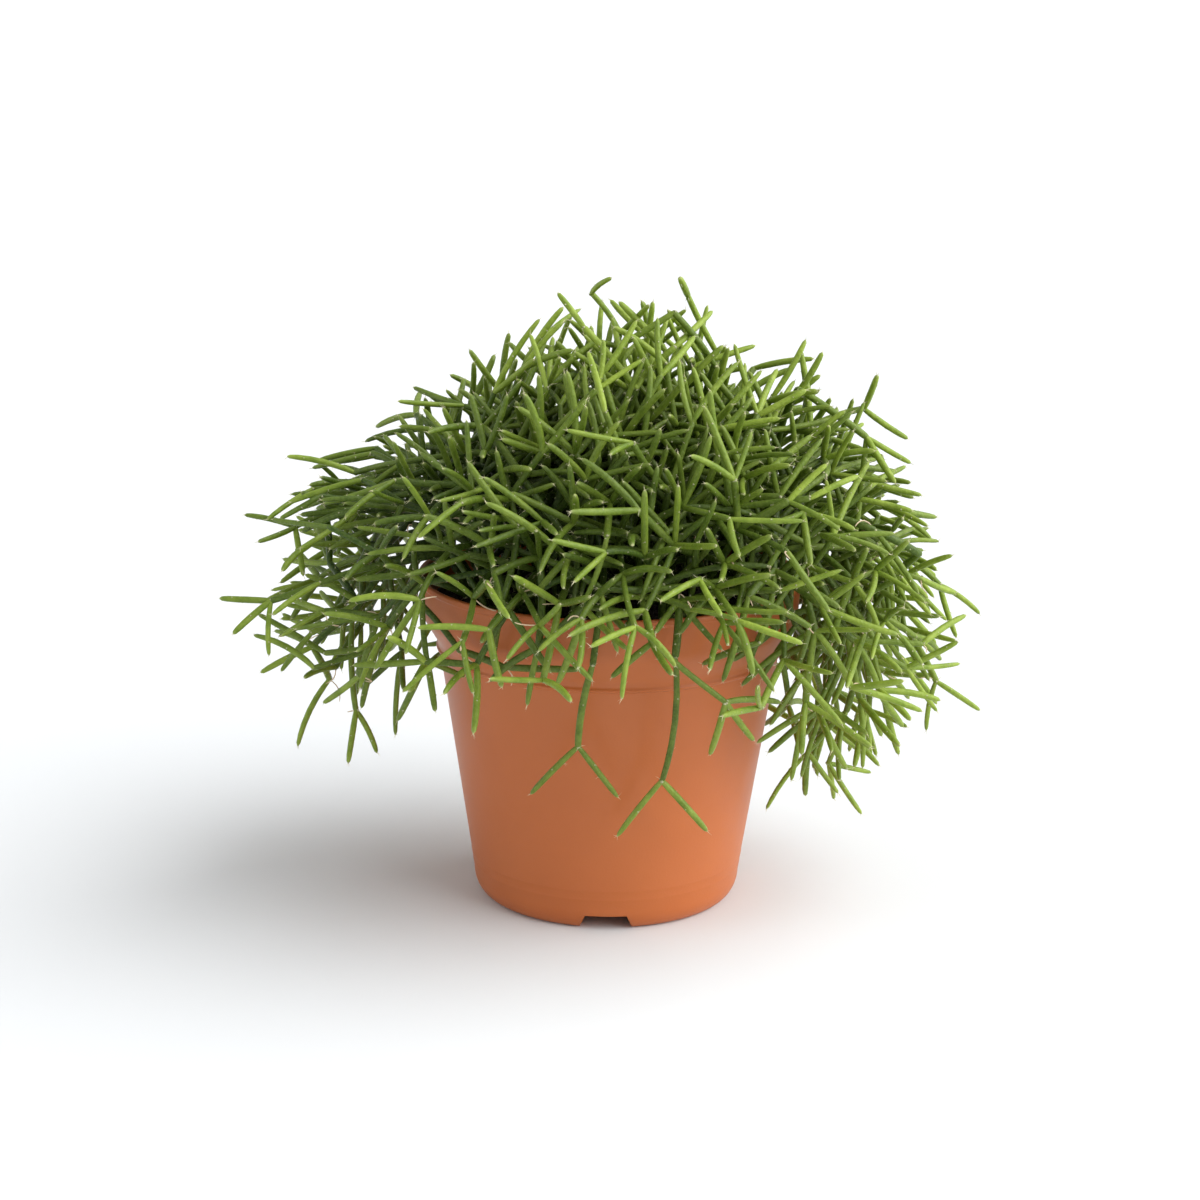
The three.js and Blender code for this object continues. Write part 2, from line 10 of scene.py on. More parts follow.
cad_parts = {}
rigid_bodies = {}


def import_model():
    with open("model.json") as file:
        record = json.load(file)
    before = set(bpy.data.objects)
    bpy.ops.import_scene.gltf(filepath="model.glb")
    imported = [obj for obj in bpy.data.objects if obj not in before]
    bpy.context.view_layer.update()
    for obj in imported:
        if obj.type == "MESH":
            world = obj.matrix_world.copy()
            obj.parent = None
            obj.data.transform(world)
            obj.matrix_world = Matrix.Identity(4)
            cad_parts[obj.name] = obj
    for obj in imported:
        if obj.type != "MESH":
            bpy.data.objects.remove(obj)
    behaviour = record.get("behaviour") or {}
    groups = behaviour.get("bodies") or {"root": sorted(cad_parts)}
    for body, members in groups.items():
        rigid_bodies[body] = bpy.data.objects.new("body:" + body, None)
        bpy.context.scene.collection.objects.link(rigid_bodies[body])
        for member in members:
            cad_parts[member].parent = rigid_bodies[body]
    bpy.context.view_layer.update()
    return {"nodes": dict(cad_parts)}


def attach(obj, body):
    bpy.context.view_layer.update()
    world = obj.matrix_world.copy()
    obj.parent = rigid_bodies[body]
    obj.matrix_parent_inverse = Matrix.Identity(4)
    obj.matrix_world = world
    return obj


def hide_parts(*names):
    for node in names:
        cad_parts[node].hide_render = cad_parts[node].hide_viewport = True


# A potted rhipsalis: slim forked green stems with pale areoles, bristles and aerial roots,
# rooted in peat in a round terracotta-coloured plastic pot, on a pale studio floor.
# Sizes are in millimetres, as in the frame's source, and meshes are made in metres.

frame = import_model()

MM = 0.001
TURN = 2 * math.pi
GOLDEN_ANGLE = math.pi * (3 - math.sqrt(5))

# Outlines: the most of a side that a rounded corner takes, its steps, and the turn between
# two faces that still shows as an edge
MOST_ROUNDING = 0.45
ROUNDING_STEPS = 5
SHARP_EDGE = 0.6

# Pot
POT_SIDES = 192
POT_HEIGHT = 104
RIM_RADIUS = 60.4
WALL = 1.3
STEP_HEIGHT = 80.6
STEP_RADIUS = 53.7
STEP_PROUD = 0.6
BEAD_PROUD = 0.35
COVE_BOTTOM = 83.6
COVE_TOP = 91.6
COLLAR_RADIUS = 59.3
FOOT_RADIUS = 38
FOOT_WIDTH = 2.2
FOOT_FILLET = 7.5
WALL_FOOT_RADIUS = 41.4
FLOOR_UNDERSIDE = 5.2
FLOOR_THICKNESS = 1.4
# Water notches, and the angle round each of their corners that no even step falls in
NOTCHES = 3
NOTCH_WIDTH = 16
NOTCH_TOP_WIDTH = 11.6
NOTCH_HEIGHT = 4.9
NOTCH_CLEAR_ANGLE = 0.008
DRAIN_HOLES = 6
DRAIN_RADIUS = 3
DRAIN_CIRCLE = 24
DRAIN_SIDES = 32
CUT_PAST_FLOOR = 2
FILLET_STEPS = 12
MOULD_LINES = (10.5, 13.5)
MOULD_LINE_WIDTH = 0.6
MOULD_LINE_PROUD = 0.05

# Peat
SOIL_GAP = 0.35
SOIL_EDGE = 93
SOIL_CENTRE = 96
SOIL_ROUGHNESS = 0.9
SOIL_WAVES = (5.1, 4.3, 11)
# The fine crumble: its height and scale, and how fast its layers fade, how much finer each is
# than the one before, and how many there are
CRUMBLE = 0.55
CRUMBLE_SCALE = 0.32
CRUMBLE_LAYERS = (0.8, 2.1, 4)
SOIL_SIDES = 128
SOIL_RINGS = 44
# Loose crumbs and fibres on it
CRUMBS = 2600
CRUMB_SIZE = (0.35, 1.15)
CRUMB_STRETCH = 0.8
FIBRES = 260
FIBRE_SIZE = (0.16, 0.3)
FIBRE_STRETCH = 14
FIBRE_SLOPE = 0.12
SHARE_ABOVE_PEAT = 0.25
CRUMB_ROUGHNESS = 0.5
CRUMBS_OFF_WALL = 1.5
CRUMB_SEED = 5

# The frame's stems: the corner radii of their prisms, plain, at a neck and at a tip, and how
# closely a ring's sides match and a prism's two rings stand in line
PRISM_RADII = (1.6, 1.28, 0.8)
RING_FIT = 0.01
LINE_FIT = 0.03

# The round stems along them. A segment starts a little inside the joint that it grows from,
# ends a little past its own, and is bowed by a share of its length, more often upward.
STEM_RADIUS = 0.98
STEM_SIDES = 8
STEM_RINGS = 9
NECK_SINK = 0.3
KNUCKLE = 0.5
BOW_SHARE = 0.055
BOW_RANGE = (0.2, 1)
BOW_UP = (0, 0, 0.5)
# How thick a segment is, and how much more for each level from the tips down to the third
GIRTH = (0.84, 1.14)
GIRTH_BY_LEVEL = 0.06
THICKEST_LEVEL = 3
DRESS_SEED = 23

# How young a segment's skin looks, for each level from the tips down, and how much that varies
YOUTH_BY_LEVEL = (0.62, 0.46, 0.34, 0.24, 0.15)
YOUTH_SPREAD = 0.3
# Ramps of how young a segment's skin looks with its place, each from a start, over a span,
# between two limits. Some are painted light and shade: paler on the top, the right and the
# outer crown, darker inside. How far out it is counts as a share of the usual reach, less
# sideways and more upward.
USUAL_REACH = 100
REACH_STRETCH = (0.9, 1, 1.15)
# Inner stems look older, partly as older growth and partly as painted shade inside the plant
YOUTH_AND_PAINTED_SHADE_BY_REACH = (0.35, 0.55, 0.03, 1)
YOUNG_BELOW = (125, -150, 0, 0.3)
# Outer crown paler, partly as young growth and partly as painted light
CROWN_YOUTH_AND_PAINTED_LIGHT = (0.85, 1.2, 0, 0.2)
# Painted light: stems paler towards the top
PAINTED_LIGHT_ABOVE = (125, 250, 0, 0.26)
# Painted light: stems paler on the right, the side the key lamp lights
PAINTED_LIGHT_RIGHT = (0, 600, -0.12, 0.12)
# Painted shade: stems darkened towards near-black green deep inside the plant
PAINTED_SHADE_INSIDE = (0.92, -0.6, 0, 1)

# Shoots that fill the gaps between the stems of the frame
PLANT_CENTRE = np.array([0.0, 0.0, 96.0])
MOST_SEGMENTS = 3200
# Each round's least gap to other stems, how far out its joints may lie as a share of the
# plant's reach, and how much its shoots lean outward
SHOOT_ROUNDS = (
    (3.4, 0.65, (-0.8, 0.2)), (2.7, 0.65, (-0.8, 0.2)), (2.1, 0.65, (-0.8, 0.2)),
    (3.8, 1.0, (-0.5, 0.5)), (3.1, 1.0, (-0.5, 0.5)), (2.6, 1.0, (-0.5, 0.5)),
    (2.2, 0.9, (-0.5, 0.5)), (1.9, 0.85, (-0.5, 0.5)), (1.7, 0.8, (-0.8, 0.2)),
)
# How far out a shoot may end, drawn between two shares of the reach, and the cosine within
# which two directions count as one way
SHOOT_REACH = (0.55, 0.95)
SAME_WAY = 0.972
OUTWARD_STRETCH = (1, 1, 1.2)
# Past this share of the reach a shoot has to point outward by at least this much
CROWN_SHARE = 0.76
CROWN_LEAN = 0.45
# Only a share of the shoots ends below a height: all round, past a place on X on the plant's
# thin side, and past a place on Y in front
SKIRT_TOP = 86
SKIRT_SHARE = 0.13
THIN_SIDE = -46
THIN_SIDE_TOP = 122
THIN_SIDE_SHARE = 0.03
FRONT_SIDE = -54
FRONT_TOP = 103
FRONT_SHARE = 0.17
# No shoot grows from the joints that hang this low in front of the pot
HANGER_SIDE = -52
HANGER_HALF_WIDTH = 60
HANGER_TOP = 84
# How strongly a shoot hangs, on ramps that start inside the rim and at a height
DROOP = 0.9
DROOP_INSIDE_RIM = 10
DROOP_TOP = 130
DROOP_SPAN = 30
SHOOT_LENGTH = (17, 28)
LENGTH_SPREAD = (0.85, 1.15)
FORK_ANGLE = 0.75
FORK_SPREAD = (0.7, 1.3)
# The cosines of the sharpest turn at a joint and of its two closest shoots
SHARPEST_TURN = 0.1
CLOSEST_FORK = 0.74
MOST_FORKS = 4
MOST_GENERATIONS = 3
TRIES_PER_JOINT = 3
DIRECTIONS = 36
# What makes one direction better than another, and how far off stems still count
ROOM_WEIGHT = 0.5
WAY_WEIGHT = 1.5
FORK_WEIGHT = 2
ENOUGH_ROOM = 9
NEIGHBOURHOOD = 62
# How far a shoot keeps off the pot and its rounded lip, and off the peat, looked at in eight
# places from near its foot to its end
POT_GAP = 1.5
LIP_WIDTH = 0.5
SOIL_CLEARANCE = 1.6
POT_CHECKS = (0.12, 1, 8)
SHOOT_SEED = 11
# Directions that others are turned from, to find what is square to them
SHOOT_SLANT = (0.2, 0.1, 1)
AREOLE_SLANT = (0.3, 0.2, 1)

# Areoles up a segment: where they sit, and how far out as a share of its radius, which is
# less past the place where a tip tapers
AREOLE_SHARES = (0.3, 0.52, 0.74)
AREOLE_SHIFT = 0.06
AREOLE_SIZE = (0.2, 0.36)
AREOLE_OUT = 0.97
TAPER_START = 0.7
TAPER_OUT = 0.9
# Felt at a tip, and round a joint, where it keeps off the segment's own line
TIP_FELT_SIZE = (0.28, 0.48)
TIP_FELT_SINK = 0.12
JOINT_FELTS = 4
JOINT_FELT_SIZE = (0.32, 0.62)
JOINT_FELT_OUT = 0.8
JOINT_FELT_SIDEWAYS = 0.6
# The bristles in them: how many, how long, and how much their directions vary
MOST_SIDE_BRISTLES = 2
SIDE_BRISTLE = (0.6, 1.3)
SIDE_BRISTLE_SPREAD = 0.5
SIDE_BRISTLE_LEAN = 0.3
TIP_BRISTLES = 3
TIP_BRISTLE = (0.9, 2.2)
TIP_BRISTLE_SINK = 0.1
TIP_BRISTLE_SPREAD = 0.55
JOINT_BRISTLE_SHARE = 0.6
JOINT_BRISTLE = (0.8, 2.2)
JOINT_BRISTLE_SPREAD = 0.3
AREOLE_SEED = 31

# One areole of radius 1 and one bristle of length 1, which the sizes above scale
CUSHION_SIDES = 6
CUSHION_TOP = 0.5
CUSHION_SINK = 0.15
BRISTLE_RADIUS = 0.06
BRISTLE_SINK = 0.1
BRISTLE_TIP_OFF = 0.1

# Aerial roots, from the joints outside this radius and below this height
ROOTS = 170
ROOT_RADIUS = 0.2
ROOT_SIDES = 5
ROOT_LENGTH = (3, 8)
ROOT_BOW = 0.16
ROOT_SPREAD = (1, 1, 0.7)
ROOT_FALL = (0, 0, -0.3)
ROOT_SEED = 41
ROOTS_OUTSIDE = 48
ROOTS_TOP = 128


# Nodes

def add_node(tree, kind, inputs=None, **settings):
    """A node with its settings. Each input, by name or number, takes a value or an output."""
    made = tree.nodes.new(kind)
    for name, value in settings.items():
        setattr(made, name, value)
    for name, value in (inputs or {}).items():
        if isinstance(name, str):
            socket = next(s for s in made.inputs if s.name == name and s.enabled)
        else:
            socket = made.inputs[name]
        if isinstance(value, bpy.types.NodeSocket):
            tree.links.new(value, socket)
        else:
            socket.default_value = value
    return made


def output_of(made, name=None):
    """A node's shown output, the first one or the named one."""
    return next(s for s in made.outputs if s.enabled and name in (None, s.name))


def sum_node(tree, operation, *values):
    inputs = dict(enumerate(values))
    return output_of(add_node(tree, "ShaderNodeMath", inputs, operation=operation))


def vector_node(tree, operation, first, second=None, scale=None):
    inputs = {0: first}
    if second is not None:
        inputs[1] = second
    if scale is not None:
        inputs["Scale"] = scale
    return output_of(add_node(tree, "ShaderNodeVectorMath", inputs, operation=operation))


def mix_node(tree, kind, factor, first, second):
    inputs = {"Factor": factor, "A": first, "B": second}
    return output_of(add_node(tree, "ShaderNodeMix", inputs, data_type=kind))


def point_value(tree, name, kind="FLOAT"):
    """A value or a vector that the points of a Geometry Nodes tree carry."""
    made = add_node(tree, "GeometryNodeInputNamedAttribute", {"Name": name}, data_type=kind)
    return output_of(made, "Attribute")


def curve_node(tree, factor, points):
    """A value that follows a smooth curve through [place, value] points."""
    made = tree.nodes.new("ShaderNodeFloatCurve")
    curve = made.mapping.curves[0]
    while len(curve.points) > 2:
        curve.points.remove(curve.points[1])
    curve.points[0].location = points[0]
    curve.points[-1].location = points[-1]
    for place, value in points[1:-1]:
        curve.points.new(place, value)
    made.mapping.update()
    tree.links.new(factor, made.inputs["Value"])
    return made.outputs[0]


def new_tree(name, kind, inputs, outputs):
    """A node group with named inputs and outputs, and its two end nodes."""
    tree = bpy.data.node_groups.new(name, kind)
    for title, socket_type, value in inputs:
        socket = tree.interface.new_socket(title, in_out="INPUT", socket_type=socket_type)
        if value is not None:
            socket.default_value = value
    for title, socket_type in outputs:
        tree.interface.new_socket(title, in_out="OUTPUT", socket_type=socket_type)
    return tree, tree.nodes.new("NodeGroupInput").outputs, tree.nodes.new("NodeGroupOutput")


def end_tree(tree, geometry, material, result):
    """Ends a Geometry Nodes tree with real geometry in its material."""
    real = output_of(add_node(tree, "GeometryNodeRealizeInstances", {"Geometry": geometry}))
    inputs = {"Geometry": real, "Material": material}
    painted = output_of(add_node(tree, "GeometryNodeSetMaterial", inputs))
    tree.links.new(painted, result.inputs[0])


def applied_mesh(source, name):
    """The plain mesh that an object's modifiers make of it. The object itself goes."""
    graph = bpy.context.evaluated_depsgraph_get()
    mesh = bpy.data.meshes.new_from_object(source.evaluated_get(graph))
    mesh.name = name
    bpy.data.objects.remove(source)
    return mesh


def run_tree(source, tree, name, **values):
    """The plain mesh that a Geometry Nodes tree makes of an object, which it then replaces."""
    modifier = source.modifiers.new("make", "NODES")
    modifier.node_group = tree
    for item in tree.interface.items_tree:
        if item.in_out == "INPUT" and item.name in values:
            modifier[item.identifier] = values[item.name]
    source.update_tag()
    return new_object(name, applied_mesh(source, name))


# Meshes

def new_object(name, mesh):
    made = bpy.data.objects.new(name, mesh)
    bpy.context.scene.collection.objects.link(made)
    return made


def mesh_object(name, points, edges=(), faces=(), **attributes):
    """An object of points in millimetres, with a value or a vector for each point."""
    mesh = bpy.data.meshes.new(name)
    mesh.from_pydata((np.asarray(points, float) * MM).tolist(), edges, faces)
    for title, values in attributes.items():
        values = np.asarray(values, np.float32)
        kind, key = ("FLOAT", "value") if values.ndim == 1 else ("FLOAT_VECTOR", "vector")
        mesh.attributes.new(title, kind, "POINT").data.foreach_set(key, values.ravel())
    return new_object(name, mesh)


def smooth(piece):
    """Smooth shading, but for edges that turn by more than the sharpest angle."""
    piece.data.shade_smooth()
    piece.data.set_sharp_from_angle(angle=SHARP_EDGE)


def finish_piece(piece, slot, *nodes):
    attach(piece, "root")
    if nodes:
        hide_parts(*nodes)


def rounded(corners):
    """An outline of (across, up, rounding) corners, each rounded one drawn as a short curve."""
    outline = []
    for i, (across, up, rounding) in enumerate(corners):
        corner = Vector((across, up))
        if not rounding:
            outline.append((across, up))
            continue
        ends = []
        for other in (corners[i - 1], corners[(i + 1) % len(corners)]):
            way = Vector(other[:2]) - corner
            ends.append(corner + way * min(rounding / way.length, MOST_ROUNDING))
        for k in range(ROUNDING_STEPS + 1):
            t = k / ROUNDING_STEPS
            point = ends[0] * (1 - t) ** 2 + corner * 2 * t * (1 - t) + ends[1] * t**2
            outline.append(tuple(point))
    return outline


def turned_faces(sides, count, closed):
    """Faces of a turned shape whose points run section by section."""
    faces = []
    for i in range(sides):
        j = (i + 1) % sides
        for k in range(count if closed else count - 1):
            m = (k + 1) % count
            faces.append((i * count + k, j * count + k, j * count + m, i * count + m))
    return faces


def close_poles(mesh):
    """Joins the points that lie in one place, where a turned shape meets its axis."""
    shape = bmesh.new()
    shape.from_mesh(mesh)
    bmesh.ops.remove_doubles(shape, verts=shape.verts, dist=0.001 * MM)
    shape.to_mesh(mesh)
    shape.free()


# Pot

def wall_radius(height):
    return WALL_FOOT_RADIUS + (STEP_RADIUS - WALL_FOOT_RADIUS) * height / STEP_HEIGHT


def fillet_point(turn):
    """A point on the rounded edge between the foot and the wall, from 0 at the foot to 1."""
    corner = wall_radius(FOOT_FILLET)
    angle = turn * math.pi / 2
    across = FOOT_RADIUS + (corner - FOOT_RADIUS) * math.sin(angle)
    return across, FOOT_FILLET * (1 - math.cos(angle))


def notch_lift(azimuth):
    """How high the foot is cut at this azimuth, for the three water notches."""
    spacing = TURN / NOTCHES
    off = (azimuth + math.pi / 2 + spacing / 2) % spacing - spacing / 2
    along = abs(off) * FOOT_RADIUS
    slope = NOTCH_HEIGHT / ((NOTCH_WIDTH - NOTCH_TOP_WIDTH) / 2)
    return min(max((NOTCH_WIDTH / 2 - along) * slope, 0), NOTCH_HEIGHT)


def pot_azimuths():
    """Even steps round the pot, and each corner of each notch."""
    corners = []
    for notch in range(NOTCHES):
        middle = -math.pi / 2 + TURN * notch / NOTCHES
        for half in (NOTCH_WIDTH / 2, NOTCH_TOP_WIDTH / 2):
            corners += [(middle + side * half / FOOT_RADIUS) % TURN for side in (-1, 1)]
    even = [TURN * i / POT_SIDES for i in range(POT_SIDES)]
    clear = [a for a in even if all(abs(a - corner) > NOTCH_CLEAR_ANGLE for corner in corners)]
    return sorted(clear + corners)


def pot_section(lift):
    """The closed outline of the pot's wall and floor, with the foot lifted at a notch."""
    first = math.acos(1 - lift / FOOT_FILLET) / (math.pi / 2)
    rise = (1 - first) / FILLET_STEPS
    fillet = [fillet_point(first + rise * k) for k in range(FILLET_STEPS)]
    inner_foot = FOOT_RADIUS - FOOT_WIDTH
    floor_top = FLOOR_UNDERSIDE + FLOOR_THICKNESS
    bead = STEP_RADIUS + STEP_PROUD + BEAD_PROUD
    wall = []
    for height in MOULD_LINES:
        radius = wall_radius(height)
        wall.append((radius, height - MOULD_LINE_WIDTH / 2, 0))
        wall.append((radius + MOULD_LINE_PROUD, height, 0))
        wall.append((radius, height + MOULD_LINE_WIDTH / 2, 0))
    # Up the outside, over the rim, down the inside, and back along the floor's underside
    rest = rounded(
        [
            (*fillet[-1], 0),
            (*fillet_point(1), 0),
            *wall,
            (STEP_RADIUS, STEP_HEIGHT - 0.5, 0.4),
            (bead, STEP_HEIGHT - 0.1, 0.25),
            (bead, STEP_HEIGHT + 0.45, 0.35),
            (STEP_RADIUS + STEP_PROUD - 0.1, STEP_HEIGHT + 1.1, 0.4),
            (STEP_RADIUS + STEP_PROUD + 0.2, COVE_BOTTOM, 1.6),
            (COLLAR_RADIUS, COVE_TOP, 2.4),
            (RIM_RADIUS - 0.5, POT_HEIGHT - 2.2, 0.4),
            (RIM_RADIUS, POT_HEIGHT - 1.7, 0.4),
            (RIM_RADIUS, POT_HEIGHT, 0.7),
            (RIM_RADIUS - WALL - 0.3, POT_HEIGHT, 0.6),
            (COLLAR_RADIUS - WALL, COVE_TOP + 0.4, 2.4),
            (STEP_RADIUS + STEP_PROUD - WALL, COVE_BOTTOM + 0.4, 1.8),
            (STEP_RADIUS - WALL, STEP_HEIGHT - 0.5, 0.8),
            (wall_radius(FOOT_FILLET) - WALL, FOOT_FILLET + 1, 3),
            (FOOT_RADIUS - 0.6, floor_top, 2),
            (DRAIN_RADIUS, floor_top, 0.2),
            (DRAIN_RADIUS, FLOOR_UNDERSIDE, 0.2),
            (inner_foot - 0.6, FLOOR_UNDERSIDE, 0.25),
            (inner_foot - 0.6 * lift / FLOOR_UNDERSIDE, lift, 0.25),
            (*fillet[0], 0),
        ]
    )
    return fillet[:-1] + rest[:-1]


def drain_cutter():
    """One round post for each drain hole in the ring, to cut the floor with."""
    points = []
    faces = []
    sides = DRAIN_SIDES
    bottom = FLOOR_UNDERSIDE - CUT_PAST_FLOOR
    top = FLOOR_UNDERSIDE + FLOOR_THICKNESS + CUT_PAST_FLOOR
    for hole in range(DRAIN_HOLES):
        centre = TURN * hole / DRAIN_HOLES
        first = len(points)
        for height in (bottom, top):
            for k in range(sides):
                angle = TURN * k / sides
                x = DRAIN_CIRCLE * math.cos(centre) + DRAIN_RADIUS * math.cos(angle)
                y = DRAIN_CIRCLE * math.sin(centre) + DRAIN_RADIUS * math.sin(angle)
                points.append((x, y, height))
        ring = range(first, first + sides)
        for k in range(sides):
            m = (k + 1) % sides
            faces.append((first + k, first + m, first + sides + m, first + sides + k))
        faces.append(tuple(reversed(ring)))
        faces.append(tuple(k + sides for k in ring))
    return mesh_object("drain_cutter", points, faces=faces)


def make_pot(material):
    azimuths = pot_azimuths()
    sections = [pot_section(notch_lift(azimuth)) for azimuth in azimuths]
    points = []
    for azimuth, section in zip(azimuths, sections):
        x, y = math.cos(azimuth), math.sin(azimuth)
        points += [(radius * x, radius * y, height) for radius, height in section]
    faces = turned_faces(len(sections), len(sections[0]), True)
    blank = mesh_object("pot_blank", points, faces=faces)
    cutter = drain_cutter()
    cut = blank.modifiers.new("drain", "BOOLEAN")
    cut.object = cutter
    cut.solver = "EXACT"
    pot = new_object("grower_pot", applied_mesh(blank, "grower_pot"))
    bpy.data.objects.remove(cutter)
    pot.data.materials.clear()
    pot.data.materials.append(material)
    smooth(pot)
    finish_piece(pot, "terracotta_plastic", "pot")


# Peat

def soil_height(x, y):
    """The height of the peat's uneven mound, as in the frame, with a finer crumble on it."""
    share = math.hypot(x, y) / RIM_RADIUS
    mound = SOIL_CENTRE + (SOIL_EDGE - SOIL_CENTRE) * share * share
    first, second, slant = SOIL_WAVES
    wave = SOIL_ROUGHNESS * math.sin(x / first + 1) * math.cos(y / second + x / slant)
    crumble = noise.fractal(Vector((x, y, 3)) * CRUMBLE_SCALE, *CRUMBLE_LAYERS)
    return mound + wave + CRUMBLE * crumble


def make_soil(material):
    floor_top = FLOOR_UNDERSIDE + FLOOR_THICKNESS
    step = STEP_RADIUS - WALL - SOIL_GAP
    brim = COLLAR_RADIUS - WALL - SOIL_GAP
    side = [
        (0, floor_top + SOIL_GAP),
        (FOOT_RADIUS - 1.2, floor_top + SOIL_GAP),
        (wall_radius(FOOT_FILLET) - WALL - SOIL_GAP, FOOT_FILLET + 1.6),
        (step, STEP_HEIGHT - 0.5),
        (step + STEP_PROUD, COVE_BOTTOM + 0.9),
        (brim, COVE_TOP + 0.9),
    ]
    points = []
    for i in range(SOIL_SIDES):
        x, y = math.cos(TURN * i / SOIL_SIDES), math.sin(TURN * i / SOIL_SIDES)
        points += [(r * x, r * y, z) for r, z in side]
        for k in range(SOIL_RINGS):
            radius = brim * (1 - k / (SOIL_RINGS - 1))
            points.append((radius * x, radius * y, soil_height(radius * x, radius * y)))
    faces = turned_faces(SOIL_SIDES, len(side) + SOIL_RINGS, False)
    peat = mesh_object("peat", points, faces=faces)
    close_poles(peat.data)
    peat.data.materials.append(material)
    peat.data.shade_smooth()
    finish_piece(peat, "peat", "soil")


def lumpy_ball(name, stretch):
    """A small uneven ball, stretched along its length."""
    mesh = bpy.data.meshes.new(name)
    shape = bmesh.new()
    bmesh.ops.create_icosphere(shape, subdivisions=1, radius=1)
    for corner in shape.verts:
        push = 1 + CRUMB_ROUGHNESS * noise.noise(corner.co * 1.7 + Vector((3, 1, 2)))
        corner.co = corner.co * push * MM
        corner.co.z *= stretch
    shape.to_mesh(mesh)
    shape.free()
    return new_object(name, mesh)


def make_crumbs(material, scatter):
    """Loose crumbs and short fibres of peat on the mound."""
    random = np.random.default_rng(CRUMB_SEED)
    brim = COLLAR_RADIUS - WALL - SOIL_GAP - CRUMBS_OFF_WALL
    for name, count, stretch, sizes in (
        ("peat_crumbs", CRUMBS, CRUMB_STRETCH, CRUMB_SIZE),
        ("peat_fibres", FIBRES, FIBRE_STRETCH, FIBRE_SIZE),
    ):
        radius = brim * np.sqrt(random.uniform(0, 1, count))
        turn = random.uniform(0, TURN, count)
        x, y = radius * np.cos(turn), radius * np.sin(turn)
        size = random.uniform(*sizes, count)
        z = [soil_height(a, b) + SHARE_ABOVE_PEAT * s for a, b, s in zip(x, y, size)]
        facing = random.normal(size=(count, 3))
        if stretch > 1:
            facing[:, 2] *= FIBRE_SLOPE
        points = np.stack([x, y, z], axis=1)
        seeds = mesh_object(
            name, points, facing=facing, size=size, spin=random.uniform(0, TURN, count)
        )
        ball = lumpy_ball("ball", stretch)
        crumbs = run_tree(seeds, scatter, name, Piece=ball, Material=material)
        bpy.data.objects.remove(ball)
        finish_piece(crumbs, "peat")


# Skeleton of the frame's stems. Each solid is a chain of three-cornered prisms: a prism's
# two end rings lie on one line, and the rings of neighbouring prisms meet round a joint.

def corner_links(name):
    """The corners of a CAD node, in millimetres, and which corners share an edge."""
    mesh = frame["nodes"][name].data
    loose = np.empty(len(mesh.vertices) * 3)
    mesh.vertices.foreach_get("co", loose)
    loose = (loose.reshape(-1, 3) / MM).round(3)
    places, merged = np.unique(loose, axis=0, return_inverse=True)
    merged = merged.reshape(-1)
    links = defaultdict(set)
    for face in mesh.polygons:
        corners = [merged[v] for v in face.vertices]
        for a, b in zip(corners, corners[1:] + corners[:1]):
            links[a].add(b)
            links[b].add(a)
    return places, links


def find_rings(places, links):
    """The equal-sided rings at the ends of the prisms, each as (corners, radius)."""
    rings = []

    def matches(a, b, side):
        return abs(np.linalg.norm(places[a] - places[b]) - side) < RING_FIT

    for a in sorted(links):
        for b in (n for n in links[a] if n > a):
            for radius in PRISM_RADII:
                side = radius * math.sqrt(3)
                if not matches(a, b, side):
                    continue
                for c in (n for n in links[a] & links[b] if n > b):
                    if matches(a, c, side) and matches(b, c, side):
                        rings.append(((a, b, c), radius))
    return rings


def line_meeting(centres, ways):
    """The point that lies nearest to several lines."""
    left = np.zeros((3, 3))
    right = np.zeros(3)
    for centre, way in zip(centres, ways):
        flat = np.eye(3) - np.outer(way, way)
        left += flat
        right += flat @ centre
    return np.linalg.solve(left, right)


def read_stem(name):
    """A stem's segments in growing order, each as (start, end, number of its parent)."""
    places, links = corner_links(name)
    rings = find_rings(places, links)
    owner = {corner: i for i, (corners, _) in enumerate(rings) for corner in corners}
    centres = [places[list(corners)].mean(axis=0) for corners, _ in rings]
    ways = []
    for corners, _ in rings:
        a, b, c = places[list(corners)]
        way = np.cross(b - a, c - a)
        ways.append(way / np.linalg.norm(way))
    partner = {}
    touching = defaultdict(set)
    for a in links:
        for b in links[a]:
            i, j = owner[a], owner[b]
            if i == j:
                continue
            span = centres[j] - centres[i]
            off_line = np.linalg.norm(np.cross(span, ways[i]))
            off_line += np.linalg.norm(np.cross(span, ways[j]))
            if off_line < LINE_FIT:
                partner[i] = j
            else:
                touching[i].add(j)
    full, neck, _ = PRISM_RADII
    plain = [i for i, (_, radius) in enumerate(rings) if radius == full]
    foot = min(plain, key=lambda i: (rings[partner[i]][1] == neck, centres[i][2]))
    segments = []

    def grow(first, start, parent):
        last = partner[first]
        near = sorted(touching[last], key=lambda i: tuple(centres[i].round(2)))
        if near:
            meeting = [last] + near
            end = line_meeting([centres[i] for i in meeting], [ways[i] for i in meeting])
        else:
            end = centres[last]
        segments.append((start, end, parent))
        number = len(segments) - 1
        for ring in near:
            grow(ring, end, number)

    grow(foot, centres[foot], -1)
    return segments


